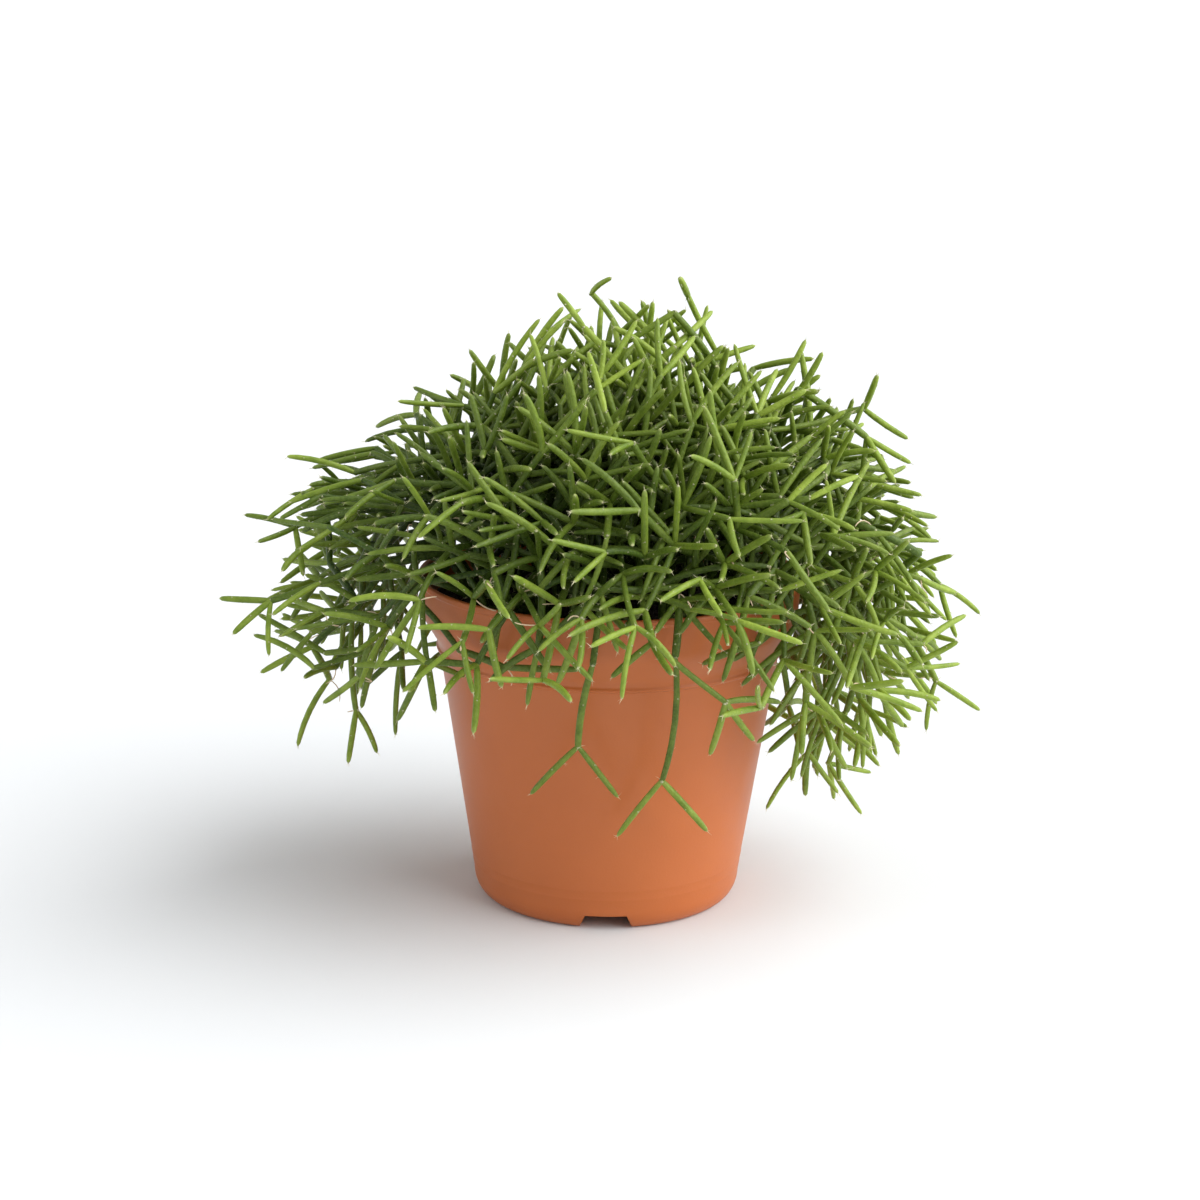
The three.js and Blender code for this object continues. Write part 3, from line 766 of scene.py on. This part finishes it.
class Plant:
    """Every segment: where it starts and ends, what it grew from, and which stem it is of."""

    def __init__(self, most):
        self.start = np.zeros((most, 3))
        self.end = np.zeros((most, 3))
        self.parent = np.full(most, -1)
        self.stem = np.zeros(most, int)
        self.children = []
        self.count = 0

    def add(self, start, end, parent, stem):
        number = self.count
        self.start[number] = start
        self.end[number] = end
        self.parent[number] = parent
        self.stem[number] = stem
        self.children.append([])
        if parent >= 0:
            self.children[parent].append(number)
        self.count += 1
        return number

    def heading(self, number):
        span = self.end[number] - self.start[number]
        return span / np.linalg.norm(span)

    def spans(self):
        return self.end[: self.count] - self.start[: self.count]


def read_plant(names):
    plant = Plant(MOST_SEGMENTS)
    for stem, name in enumerate(names):
        first = plant.count
        for start, end, parent in read_stem(name):
            plant.add(start, end, parent + first if parent >= 0 else -1, stem)
    return plant


# Shoots

def gaps_between(p1, q1, p2, q2):
    """The least distance from each of some segments to each of the others."""
    d1 = (q1 - p1)[:, None, :]
    d2 = (q2 - p2)[None, :, :]
    r = p1[:, None, :] - p2[None, :, :]
    a = (d1 * d1).sum(-1)
    e = (d2 * d2).sum(-1)
    f = (d2 * r).sum(-1)
    c = (d1 * r).sum(-1)
    b = (d1 * d2).sum(-1)
    slope = a * e - b * b
    s = np.clip((b * f - c * e) / np.maximum(slope, 1e-9), 0, 1)
    t = (b * s + f) / e
    s = np.where(t < 0, np.clip(-c / a, 0, 1), s)
    s = np.where(t > 1, np.clip((b - c) / a, 0, 1), s)
    t = np.clip(t, 0, 1)
    off = r + d1 * s[..., None] - d2 * t[..., None]
    return np.sqrt((off * off).sum(-1))


def ramp(value, start, span, least=0, most=1):
    """How far a value has come from a start over a span, held between two limits."""
    return np.clip((value - start) / span, least, most)


def share_of_reach(points, crowns):
    """How far out each point is, as a share of the outermost joint that way of the frame."""
    out = points - PLANT_CENTRE
    reach = np.linalg.norm(out, axis=1)
    far = np.linalg.norm(crowns, axis=1)
    near = (out / reach[:, None]) @ (crowns / far[:, None]).T > SAME_WAY
    return reach / np.maximum(np.where(near, far[None, :], 0).max(axis=1), 1)


def clear_of_pot(start, ends):
    clear = np.ones(len(ends), bool)
    for share in np.linspace(*POT_CHECKS):
        p = start + (ends - start) * share
        radius = np.hypot(p[:, 0], p[:, 1])
        low = p[:, 2] <= POT_HEIGHT + POT_GAP
        inside = radius < RIM_RADIUS - WALL - LIP_WIDTH - POT_GAP
        clear &= ~(low & inside & (p[:, 2] < SOIL_CENTRE + SOIL_CLEARANCE))
        clear &= ~(low & ~inside & (radius < RIM_RADIUS + POT_GAP))
    return clear


def find_shoot(plant, joint, crowns, random, least, lean):
    """Where a new segment from a joint would end, in the clearest of several directions."""
    place = plant.end[joint]
    heading = plant.heading(joint)
    outward = (place - PLANT_CENTRE) * OUTWARD_STRETCH
    outward /= np.linalg.norm(outward)
    past_rim = ramp(np.hypot(*place[:2]), RIM_RADIUS - DROOP_INSIDE_RIM, DROOP_SPAN)
    droop = DROOP * past_rim * ramp(place[2], DROOP_TOP, -DROOP_SPAN)
    along = lean * outward + heading - (0, 0, droop)
    along /= np.linalg.norm(along)
    side = np.cross(along, SHOOT_SLANT)
    side /= np.linalg.norm(side)
    lift = np.cross(side, along)
    length = random.uniform(*SHOOT_LENGTH)
    spin = random.uniform(0, TURN, (DIRECTIONS, 1))
    fork = FORK_ANGLE * random.uniform(*FORK_SPREAD, (DIRECTIONS, 1))
    reach = length * random.uniform(*LENGTH_SPREAD, (DIRECTIONS, 1))
    aims = along * np.cos(fork) + (side * np.cos(spin) + lift * np.sin(spin)) * np.sin(fork)
    ends = place + aims * reach
    closest = np.full(DIRECTIONS, -1.0)
    for child in plant.children[joint]:
        closest = np.maximum(closest, aims @ plant.heading(child))
    fit = (aims @ heading > SHARPEST_TURN) & (closest < CLOSEST_FORK)
    fit &= clear_of_pot(place, ends)
    if random.uniform() > SKIRT_SHARE:
        fit &= ends[:, 2] > SKIRT_TOP
    if random.uniform() > FRONT_SHARE:
        fit &= (ends[:, 1] > FRONT_SIDE) | (ends[:, 2] > FRONT_TOP)
    if random.uniform() > THIN_SIDE_SHARE:
        fit &= (ends[:, 0] > THIN_SIDE) | (ends[:, 2] > THIN_SIDE_TOP)
    shortest, longest = SHOOT_REACH
    furthest = shortest + (longest - shortest) * random.uniform() ** 2
    shares = share_of_reach(ends, crowns)
    fit &= shares < furthest
    fit &= (shares < CROWN_SHARE) | (aims @ outward > CROWN_LEAN)
    if not fit.any():
        return None
    ends, aims, closest = ends[fit], aims[fit], closest[fit]
    others = np.arange(plant.count)
    middle = (plant.start[others] + plant.end[others]) / 2
    others = others[np.linalg.norm(middle - place, axis=1) < NEIGHBOURHOOD]
    others = others[(plant.parent[others] != joint) & (others != joint)]
    starts = np.broadcast_to(place, ends.shape)
    gaps = gaps_between(starts, ends, plant.start[others], plant.end[others])
    room = np.minimum(gaps.min(axis=1), ENOUGH_ROOM)
    score = room * ROOM_WEIGHT + aims @ along * WAY_WEIGHT - closest * FORK_WEIGHT
    score[room < least] = -np.inf
    best = int(score.argmax())
    return ends[best] if score[best] > -np.inf else None


def is_hanger(x, y, z):
    """Whether a joint is of a stem that hangs low in front of the pot."""
    return y < HANGER_SIDE and abs(x) < HANGER_HALF_WIDTH and z < HANGER_TOP


def grow_shoots(plant):
    """More segments from the joints, into the widest gaps first and then into narrower ones."""
    random = np.random.default_rng(SHOOT_SEED)
    tips = [n for n in range(plant.count) if not plant.children[n]]
    crowns = plant.end[tips] - PLANT_CENTRE
    generation = defaultdict(int)
    for least, outermost, leans in SHOOT_ROUNDS:
        shares = share_of_reach(plant.end[: plant.count], crowns)
        joints = np.flatnonzero(shares < outermost).tolist()
        for _ in range(len(joints) * TRIES_PER_JOINT):
            joint = joints[int(random.integers(len(joints)))]
            full = len(plant.children[joint]) >= MOST_FORKS
            if full or generation[joint] >= MOST_GENERATIONS or is_hanger(*plant.end[joint]):
                continue
            if plant.count >= MOST_SEGMENTS:
                return
            end = find_shoot(plant, joint, crowns, random, least, random.uniform(*leans))
            if end is None:
                continue
            number = plant.add(plant.end[joint], end, joint, plant.stem[joint])
            generation[number] = generation[joint] + 1
            if share_of_reach(end[None, :], crowns)[0] < outermost:
                joints.append(number)


def levels_above(plant):
    """How many segments lie between each one and the furthest tip that grows from it."""
    levels = np.zeros(plant.count, int)
    order = sorted(range(plant.count), key=lambda n: -depth_of(plant, n))
    for number in order:
        parent = plant.parent[number]
        if parent >= 0:
            levels[parent] = max(levels[parent], levels[number] + 1)
    return levels


def depth_of(plant, number):
    depth = 0
    while plant.parent[number] >= 0:
        number = plant.parent[number]
        depth += 1
    return depth


# Stem flesh

def stem_tree():
    """Tapered, slightly bowed tubes along straight edges, round at the end or pointed at a tip."""
    tree, given, result = new_tree(
        "stem_tubes",
        "GeometryNodeTree",
        [
            ("Geometry", "NodeSocketGeometry", None),
            ("Radius", "NodeSocketFloat", STEM_RADIUS * MM),
            ("Sides", "NodeSocketInt", STEM_SIDES),
            ("Rings", "NodeSocketInt", STEM_RINGS),
            ("Material", "NodeSocketMaterial", None),
        ],
        [("Geometry", "NodeSocketGeometry")],
    )
    lines = output_of(add_node(tree, "GeometryNodeMeshToCurve", {"Mesh": given["Geometry"]}))
    inputs = {"Curve": lines, "Count": given["Rings"]}
    fine = output_of(add_node(tree, "GeometryNodeResampleCurve", inputs, mode="COUNT"))
    even = tree.nodes.new("GeometryNodeSplineParameter").outputs["Factor"]
    inputs = {"Geometry": fine, "Name": "along", "Value": even}
    kinds = {"data_type": "FLOAT", "domain": "POINT"}
    named = output_of(add_node(tree, "GeometryNodeStoreNamedAttribute", inputs, **kinds))
    along = point_value(tree, "along")
    swing = sum_node(tree, "COSINE", sum_node(tree, "MULTIPLY", along, math.pi))
    place = sum_node(tree, "MULTIPLY_ADD", swing, -0.5, 0.5)
    shift = sum_node(tree, "SUBTRACT", place, along)
    span = point_value(tree, "span", "FLOAT_VECTOR")
    slid = vector_node(tree, "SCALE", span, scale=shift)
    hump = sum_node(tree, "MULTIPLY", place, sum_node(tree, "SUBTRACT", 1.0, place))
    hump = sum_node(tree, "MULTIPLY", hump, 4.0)
    bow = point_value(tree, "bow", "FLOAT_VECTOR")
    bowed = vector_node(tree, "SCALE", bow, scale=hump)
    inputs = {"Geometry": named, "Offset": vector_node(tree, "ADD", slid, bowed)}
    placed = output_of(add_node(tree, "GeometryNodeSetPosition", inputs))
    forked = curve_node(
        tree,
        along,
        [(0, 0.62), (0.125, 0.78), (0.25, 0.92), (0.375, 0.99), (0.5, 1), (0.75, 0.99),
         (0.875, 0.93), (1, 0.5)],
    )
    tapered = curve_node(
        tree,
        along,
        [(0, 0.62), (0.125, 0.78), (0.25, 0.93), (0.375, 1), (0.5, 1), (0.625, 0.97),
         (0.75, 0.89), (0.875, 0.68), (1, 0.24)],
    )
    shape = mix_node(tree, "FLOAT", point_value(tree, "tip"), forked, tapered)
    radius = sum_node(tree, "MULTIPLY", shape, point_value(tree, "girth"))
    radius = sum_node(tree, "MULTIPLY", radius, given["Radius"])
    inputs = {"Resolution": given["Sides"], "Radius": 1.0}
    ring = output_of(add_node(tree, "GeometryNodeCurvePrimitiveCircle", inputs))
    inputs = {"Curve": placed, "Profile Curve": ring, "Scale": radius, "Fill Caps": True}
    tubes = output_of(add_node(tree, "GeometryNodeCurveToMesh", inputs))
    soft = output_of(add_node(tree, "GeometryNodeSetShadeSmooth", {"Geometry": tubes}))
    end_tree(tree, soft, given["Material"], result)
    return tree


def scatter_tree():
    """A small piece set out on points, each turned to face its own way."""
    tree, given, result = new_tree(
        "set_out_pieces",
        "GeometryNodeTree",
        [
            ("Geometry", "NodeSocketGeometry", None),
            ("Piece", "NodeSocketObject", None),
            ("Scale", "NodeSocketFloat", 1.0),
            ("Material", "NodeSocketMaterial", None),
        ],
        [("Geometry", "NodeSocketGeometry")],
    )
    inputs = {"Vector": point_value(tree, "facing", "FLOAT_VECTOR")}
    facing = output_of(add_node(tree, "FunctionNodeAlignRotationToVector", inputs, axis="Z"))
    inputs = {"Axis": (0, 0, 1), "Angle": point_value(tree, "spin")}
    spin = output_of(add_node(tree, "FunctionNodeAxisAngleToRotation", inputs))
    inputs = {"Rotation": facing, "Rotate By": spin}
    turned = add_node(tree, "FunctionNodeRotateRotation", inputs, rotation_space="LOCAL")
    piece = add_node(tree, "GeometryNodeObjectInfo", {"Object": given["Piece"]})
    inputs = {
        "Points": given["Geometry"],
        "Instance": output_of(piece, "Geometry"),
        "Rotation": output_of(turned),
        "Scale": sum_node(tree, "MULTIPLY", point_value(tree, "size"), given["Scale"]),
    }
    copies = output_of(add_node(tree, "GeometryNodeInstanceOnPoints", inputs))
    end_tree(tree, copies, given["Material"], result)
    return tree


def square_to(ways, random):
    """A unit vector square to each of the given ones, at random round it."""
    loose = random.normal(size=ways.shape)
    square = loose - ways * (loose * ways).sum(1, keepdims=True)
    return square / np.linalg.norm(square, axis=1, keepdims=True)


def skin_age(plant, levels, random):
    """How young each segment's skin looks, with painted light towards the top, the right and the
    outer crown and painted shade inside, and how deep inside the plant it lies, which sets its
    painted shade.
    """
    oldest = len(YOUTH_BY_LEVEL) - 1
    youth = np.choose(np.minimum(levels, oldest), YOUTH_BY_LEVEL)
    youth = np.clip(youth + random.uniform(-YOUTH_SPREAD, YOUTH_SPREAD, plant.count), 0, 1)
    middle = plant.start[: plant.count] + plant.spans() / 2
    outer = np.linalg.norm((middle - PLANT_CENTRE) * REACH_STRETCH, axis=1) / USUAL_REACH
    across_x, height = middle[:, 0], middle[:, 2]
    # Inner stems look older: older growth, and painted shade
    youth *= ramp(outer, *YOUTH_AND_PAINTED_SHADE_BY_REACH)
    youth += ramp(height, *YOUNG_BELOW)
    # Painted light on the outer crown, partly young growth too, and towards the top
    youth += ramp(outer, *CROWN_YOUTH_AND_PAINTED_LIGHT) + ramp(height, *PAINTED_LIGHT_ABOVE)
    # Painted light on the right side
    youth += ramp(across_x, *PAINTED_LIGHT_RIGHT)
    # The depth ramp is painted shade inside the plant
    return youth, ramp(outer, *PAINTED_SHADE_INSIDE)


def dress_plant(plant, names, materials, scatter):
    """The flesh of each stem, then the areoles, bristles and roots on all of them."""
    random = np.random.default_rng(DRESS_SEED)
    count = plant.count
    spans = plant.spans()
    length = np.linalg.norm(spans, axis=1)
    ways = spans / length[:, None]
    levels = levels_above(plant)
    tip = (levels == 0).astype(float)
    # The young-looking share carries painted light and shade too; depth sets the painted shade
    # inside the plant
    youth, depth = skin_age(plant, levels, random)
    girth = random.uniform(*GIRTH, count)
    girth *= 1 + GIRTH_BY_LEVEL * np.minimum(levels, THICKEST_LEVEL)
    bow = square_to(ways, random) + BOW_UP
    bow -= ways * (bow * ways).sum(1, keepdims=True)
    bow *= (BOW_SHARE * length * random.uniform(*BOW_RANGE, count))[:, None]
    start = plant.start[:count] - ways * NECK_SINK
    end = plant.end[:count] + ways * (KNUCKLE * (1 - tip))[:, None]
    tubes = stem_tree()
    for stem, name in enumerate(names):
        own = np.flatnonzero(plant.stem[:count] == stem)
        points = np.stack([start[own], end[own]], axis=1).reshape(-1, 3)
        edges = [(2 * k, 2 * k + 1) for k in range(len(own))]
        twice = np.repeat(own, 2)
        lines = mesh_object(
            name + "_lines",
            points,
            edges,
            span=((end - start) * MM)[twice],
            bow=(bow * MM)[twice],
            tip=tip[twice],
            youth=youth[twice],
            depth=depth[twice],
            girth=girth[twice],
        )
        flesh = run_tree(lines, tubes, name + "_flesh", Material=materials["stem"])
        finish_piece(flesh, "green_stem", name)
    make_areoles(plant, materials, scatter, tip, girth, bow)
    make_aerial_roots(plant, materials, tubes, tip)


def areole_piece():
    """A low cushion of felt, flat below where it sits in the stem."""
    sides = CUSHION_SIDES
    points = [(0, 0, CUSHION_TOP)]
    for k in range(sides):
        angle = TURN * k / sides
        points.append((math.cos(angle), math.sin(angle), -CUSHION_SINK))
    faces = [(0, 1 + k, 1 + (k + 1) % sides) for k in range(sides)]
    underside = tuple(range(sides, 0, -1))
    cushion = mesh_object("areole", points, faces=faces + [underside])
    cushion.data.shade_smooth()
    cushion.data.polygons[-1].use_smooth = False
    return cushion


def bristle_piece():
    """A thin three-sided bristle that leans a little."""
    points = []
    for k in range(3):
        x, y = math.cos(TURN * k / 3), math.sin(TURN * k / 3)
        points.append((BRISTLE_RADIUS * x, BRISTLE_RADIUS * y, -BRISTLE_SINK))
    points.append((BRISTLE_TIP_OFF, 0, 1))
    return mesh_object("bristle", points, faces=[(0, 1, 3), (1, 2, 3), (2, 0, 3), (0, 2, 1)])


class Seeds:
    """Points for a small repeated piece, each with the way it faces and its size."""

    def __init__(self):
        self.places = []
        self.facings = []
        self.sizes = []

    def add(self, place, facing, size):
        self.places.append(place)
        self.facings.append(facing)
        self.sizes.append(size)


def make_areoles(plant, materials, scatter, tip, girth, bow):
    """Felted areoles in a spiral up each segment, and bristles that stand in them."""
    random = np.random.default_rng(AREOLE_SEED)
    felts, hairs = Seeds(), Seeds()
    for number in range(plant.count):
        start, end = plant.start[number], plant.end[number]
        way = plant.heading(number)
        side = np.cross(way, AREOLE_SLANT)
        side /= np.linalg.norm(side)
        lift = np.cross(way, side)
        turn = random.uniform(0, TURN)
        for k, share in enumerate(AREOLE_SHARES):
            share += random.uniform(-AREOLE_SHIFT, AREOLE_SHIFT)
            angle = turn + k * GOLDEN_ANGLE
            out = side * math.cos(angle) + lift * math.sin(angle)
            centre = start + (end - start) * share + bow[number] * 4 * share * (1 - share)
            tapers = tip[number] and share > TAPER_START
            reach = TAPER_OUT if tapers else AREOLE_OUT
            place = centre + out * (STEM_RADIUS * girth[number] * reach)
            felts.add(place, out, random.uniform(*AREOLE_SIZE))
            for _ in range(random.integers(0, MOST_SIDE_BRISTLES + 1)):
                spread = SIDE_BRISTLE_SPREAD * random.normal(size=3)
                facing = out + spread + SIDE_BRISTLE_LEAN * way
                hairs.add(place, facing, random.uniform(*SIDE_BRISTLE))
        if tip[number]:
            felts.add(end - way * TIP_FELT_SINK, way, random.uniform(*TIP_FELT_SIZE))
            for _ in range(TIP_BRISTLES):
                facing = way + TIP_BRISTLE_SPREAD * random.normal(size=3)
                foot = end - way * TIP_BRISTLE_SINK
                hairs.add(foot, facing, random.uniform(*TIP_BRISTLE))
            continue
        for _ in range(JOINT_FELTS):
            out = random.normal(size=3)
            out -= way * (out @ way) * JOINT_FELT_SIDEWAYS
            out /= np.linalg.norm(out)
            place = end + out * STEM_RADIUS * JOINT_FELT_OUT
            felts.add(place, out, random.uniform(*JOINT_FELT_SIZE))
            if random.uniform() < JOINT_BRISTLE_SHARE:
                facing = out + JOINT_BRISTLE_SPREAD * random.normal(size=3)
                hairs.add(place, facing, random.uniform(*JOINT_BRISTLE))
    for name, piece, seeds, material in (
        ("areoles", areole_piece(), felts, materials["areole"]),
        ("bristles", bristle_piece(), hairs, materials["bristle"]),
    ):
        spin = random.uniform(0, TURN, len(seeds.places))
        points = mesh_object(name, seeds.places, facing=seeds.facings, size=seeds.sizes, spin=spin)
        made = run_tree(points, scatter, name, Piece=piece, Material=material)
        bpy.data.objects.remove(piece)
        finish_piece(made, "green_stem")


def make_aerial_roots(plant, materials, tubes, tip):
    """Thin pale roots that some joints of the hanging stems put out."""
    random = np.random.default_rng(ROOT_SEED)
    joints = [
        n for n in range(plant.count)
        if not tip[n]
        and np.hypot(*plant.end[n][:2]) > ROOTS_OUTSIDE
        and plant.end[n][2] < ROOTS_TOP
    ]
    points, edges, spans, bows = [], [], [], []
    for joint in random.permutation(joints)[:ROOTS]:
        place = plant.end[joint]
        way = random.normal(size=3) * ROOT_SPREAD + ROOT_FALL
        way /= np.linalg.norm(way)
        length = random.uniform(*ROOT_LENGTH)
        end = place + way * length
        if not clear_of_pot(place, end[None, :])[0]:
            continue
        bow = np.cross(way, random.normal(size=3)) * length * ROOT_BOW
        edges.append((len(points), len(points) + 1))
        points += [place, end]
        spans += [(end - place) * MM] * 2
        bows += [bow * MM] * 2
    ones = np.ones(len(points))
    lines = mesh_object(
        "root_lines", points, edges, span=spans, bow=bows, tip=ones, youth=ones, girth=ones
    )
    sizes = {"Radius": ROOT_RADIUS * MM, "Sides": ROOT_SIDES}
    roots = run_tree(lines, tubes, "aerial_roots", Material=materials["root"], **sizes)
    finish_piece(roots, "green_stem")


# Materials

def mottle_group():
    """Soft blotches of two colours over a surface."""
    tree, given, result = new_tree(
        "mottle",
        "ShaderNodeTree",
        [
            ("Scale", "NodeSocketFloat", 40.0),
            ("Contrast", "NodeSocketFloat", 1.0),
            ("Low", "NodeSocketColor", (0, 0, 0, 1)),
            ("High", "NodeSocketColor", (1, 1, 1, 1)),
        ],
        [("Colour", "NodeSocketColor"), ("Mask", "NodeSocketFloat")],
    )
    place = tree.nodes.new("ShaderNodeTexCoord").outputs["Object"]
    inputs = {"Vector": place, "Scale": given["Scale"], "Detail": 4.0, "Roughness": 0.6}
    cloud = add_node(tree, "ShaderNodeTexNoise", inputs).outputs["Fac"]
    centred = sum_node(tree, "SUBTRACT", cloud, 0.5)
    mask = sum_node(tree, "MULTIPLY_ADD", centred, given["Contrast"], 0.5)
    held = add_node(tree, "ShaderNodeClamp", {"Value": mask}).outputs[0]
    colour = mix_node(tree, "RGBA", held, given["Low"], given["High"])
    tree.links.new(colour, result.inputs["Colour"])
    tree.links.new(held, result.inputs["Mask"])
    return tree


def grain_group():
    """The fine unevenness of a surface, as a height."""
    tree, given, result = new_tree(
        "fine_grain",
        "ShaderNodeTree",
        [("Scale", "NodeSocketFloat", 400.0), ("Coarseness", "NodeSocketFloat", 0.5)],
        [("Height", "NodeSocketFloat")],
    )
    place = tree.nodes.new("ShaderNodeTexCoord").outputs["Object"]
    inputs = {"Vector": place, "Scale": given["Scale"], "Detail": 3.0}
    fine = add_node(tree, "ShaderNodeTexNoise", inputs).outputs["Fac"]
    inputs["Scale"] = sum_node(tree, "MULTIPLY", given["Scale"], 0.12)
    inputs["Detail"] = 1.0
    wave = add_node(tree, "ShaderNodeTexNoise", inputs).outputs["Fac"]
    height = mix_node(tree, "FLOAT", given["Coarseness"], fine, wave)
    tree.links.new(height, result.inputs["Height"])
    return tree


def new_material(name, roughness):
    material = bpy.data.materials.new(name)
    material.use_nodes = True
    tree = material.node_tree
    shader = tree.nodes["Principled BSDF"]
    shader.inputs["Roughness"].default_value = roughness
    return material, tree, shader


def add_group(tree, group, **inputs):
    return add_node(tree, "ShaderNodeGroup", inputs, node_tree=group).outputs


def add_bump(tree, shader, height, distance):
    bump = add_node(tree, "ShaderNodeBump", {"Height": height, "Distance": distance})
    tree.links.new(bump.outputs[0], shader.inputs["Normal"])


def read_attribute(tree, name):
    return add_node(tree, "ShaderNodeAttribute", attribute_name=name).outputs["Fac"]


def stem_material(mottle, grain):
    """Waxy green, darker where old and yellower where young, pale at a tip and at a neck, with
    painted light towards the top, the right and the outer crown and painted shade deep inside the
    plant.
    """
    material, tree, shader = new_material("green_stem_skin", 0.38)
    shader.inputs["Specular IOR Level"].default_value = 0.28
    youth = read_attribute(tree, "youth")
    along = read_attribute(tree, "along")
    tip = read_attribute(tree, "tip")
    old = add_group(
        tree, mottle, Scale=160.0, Contrast=1.8,
        Low=(0.011, 0.035, 0.002, 1), High=(0.036, 0.088, 0.004, 1),
    )
    young = add_group(
        tree, mottle, Scale=190.0, Contrast=1.6,
        Low=(0.12, 0.205, 0.009, 1), High=(0.36, 0.465, 0.066, 1),
    )
    # Old and young greens mixed by an attribute that carries painted light and shade as well as
    # age
    green = mix_node(tree, "RGBA", youth, old["Colour"], young["Colour"])
    # Painted shade: near-black green mixed in deep inside the plant
    painted_shade = sum_node(tree, "MULTIPLY", read_attribute(tree, "depth"), 0.85)
    green = mix_node(tree, "RGBA", painted_shade, green, (0.009, 0.021, 0.0015, 1))
    nib = curve_node(tree, along, [(0, 0.25), (0.2, 0), (0.8, 0), (0.93, 0.25), (1, 1)])
    nib = sum_node(tree, "MULTIPLY", nib, sum_node(tree, "MULTIPLY_ADD", tip, 0.75, 0.15))
    colour = mix_node(tree, "RGBA", nib, green, (0.46, 0.50, 0.20, 1))
    flecks = add_group(tree, mottle, Scale=1100.0, Contrast=9.0)["Mask"]
    flecks = sum_node(tree, "MULTIPLY", flecks, 0.08)
    colour = mix_node(tree, "RGBA", flecks, colour, (0.42, 0.55, 0.10, 1))
    tree.links.new(colour, shader.inputs["Base Color"])
    height = add_group(tree, grain, Scale=1000.0, Coarseness=0.5)["Height"]
    add_bump(tree, shader, height, 0.0006)
    return material


def mottled_material(name, groups, roughness, low, high, blotches, grains, depth):
    """A finish of two blotched colours and a fine grain, finer where their scale is larger."""
    mottle, grain = groups
    material, tree, shader = new_material(name, roughness)
    colour = add_group(tree, mottle, Scale=blotches, Contrast=1.6, Low=low, High=high)["Colour"]
    tree.links.new(colour, shader.inputs["Base Color"])
    height = add_group(tree, grain, Scale=grains, Coarseness=0.4)["Height"]
    add_bump(tree, shader, height, depth)
    return material


def make_materials():
    groups = mottle_group(), grain_group()
    return {
        "stem": stem_material(*groups),
        "plastic": mottled_material(
            "terracotta_plastic_skin", groups, roughness=0.42,
            low=(0.455, 0.112, 0.020, 1), high=(0.495, 0.129, 0.025, 1),
            blotches=24.0, grains=1600.0, depth=0.00006,
        ),
        "peat": mottled_material(
            "dark_peat", groups, roughness=0.95,
            low=(0.010, 0.007, 0.005, 1), high=(0.055, 0.034, 0.022, 1),
            blotches=260.0, grains=1500.0, depth=0.0006,
        ),
        "areole": mottled_material(
            "areole_felt", groups, roughness=0.9,
            low=(0.34, 0.36, 0.17, 1), high=(0.60, 0.60, 0.38, 1),
            blotches=900.0, grains=3000.0, depth=0.0002,
        ),
        "bristle": mottled_material(
            "pale_bristle", groups, roughness=0.6,
            low=(0.58, 0.54, 0.31, 1), high=(0.77, 0.72, 0.49, 1),
            blotches=900.0, grains=3000.0, depth=0.00005,
        ),
        "root": mottled_material(
            "aerial_root_skin", groups, roughness=0.7,
            low=(0.62, 0.42, 0.26, 1), high=(0.80, 0.68, 0.48, 1),
            blotches=300.0, grains=3000.0, depth=0.0001,
        ),
    }


# Studio

CAMERA_PLACE = (-3.1, -815, 303.7)
CAMERA_PITCH = 0.2508
CAMERA_ROLL = 0.0133
CAMERA_LENS = 80
SENSOR = 36
# Each lamp's azimuth, height and width in degrees, and its strength
LAMPS = {"key": (-8, 38, 84, 4.5), "left_rim": (190, 16, 30, 0.5)}
# The white surround's strength as a light, and as the camera sees it
FILL_STRENGTH = 0.5
SEEN_STRENGTH = 1.0
FLOOR_REACH = 20000


def make_camera():
    data = bpy.data.cameras.new("camera")
    data.lens = CAMERA_LENS
    data.sensor_width = SENSOR
    camera = new_object("camera", data)
    camera.location = Vector(CAMERA_PLACE) * MM
    down = Matrix.Rotation(math.pi / 2 - CAMERA_PITCH, 3, "X")
    camera.rotation_euler = (down @ Matrix.Rotation(CAMERA_ROLL, 3, "Z")).to_euler()
    bpy.context.scene.camera = camera


def make_floor():
    far = FLOOR_REACH
    corners = [(-far, -far, 0), (far, -far, 0), (far, far, 0), (-far, far, 0)]
    floor = mesh_object("floor", corners, faces=[(0, 1, 2, 3)])
    material, _, shader = new_material("white_floor", 0.9)
    shader.inputs["Base Color"].default_value = (0.765, 0.785, 0.80, 1)
    shader.inputs["Specular IOR Level"].default_value = 0.1
    floor.data.materials.append(material)


def make_lights():
    for name, (azimuth, height, width, strength) in LAMPS.items():
        data = bpy.data.lights.new(name, "SUN")
        data.energy = strength
        data.angle = math.radians(width)
        lamp = new_object(name, data)
        turn, rise = math.radians(azimuth), math.radians(height)
        toward = Vector((math.cos(turn), math.sin(turn), math.tan(rise)))
        lamp.rotation_euler = toward.to_track_quat("Z", "Y").to_euler()
    world = bpy.data.worlds.new("studio")
    world.use_nodes = True
    tree = world.node_tree
    background = tree.nodes["Background"]
    background.inputs["Color"].default_value = (1, 1, 1, 1)
    seen = tree.nodes.new("ShaderNodeLightPath").outputs["Is Camera Ray"]
    strength = mix_node(tree, "FLOAT", seen, FILL_STRENGTH, SEEN_STRENGTH)
    tree.links.new(strength, background.inputs["Strength"])
    bpy.context.scene.world = world
    bpy.context.scene.view_settings.view_transform = "Standard"


make_camera()
make_floor()
make_lights()
finishes = make_materials()
set_out = scatter_tree()
make_pot(finishes["plastic"])
make_soil(finishes["peat"])
make_crumbs(finishes["peat"], set_out)
stem_names = sorted(name for name in frame["nodes"] if name.startswith("stem_"))
rhipsalis = read_plant(stem_names)
grow_shoots(rhipsalis)
dress_plant(rhipsalis, stem_names, finishes, set_out)
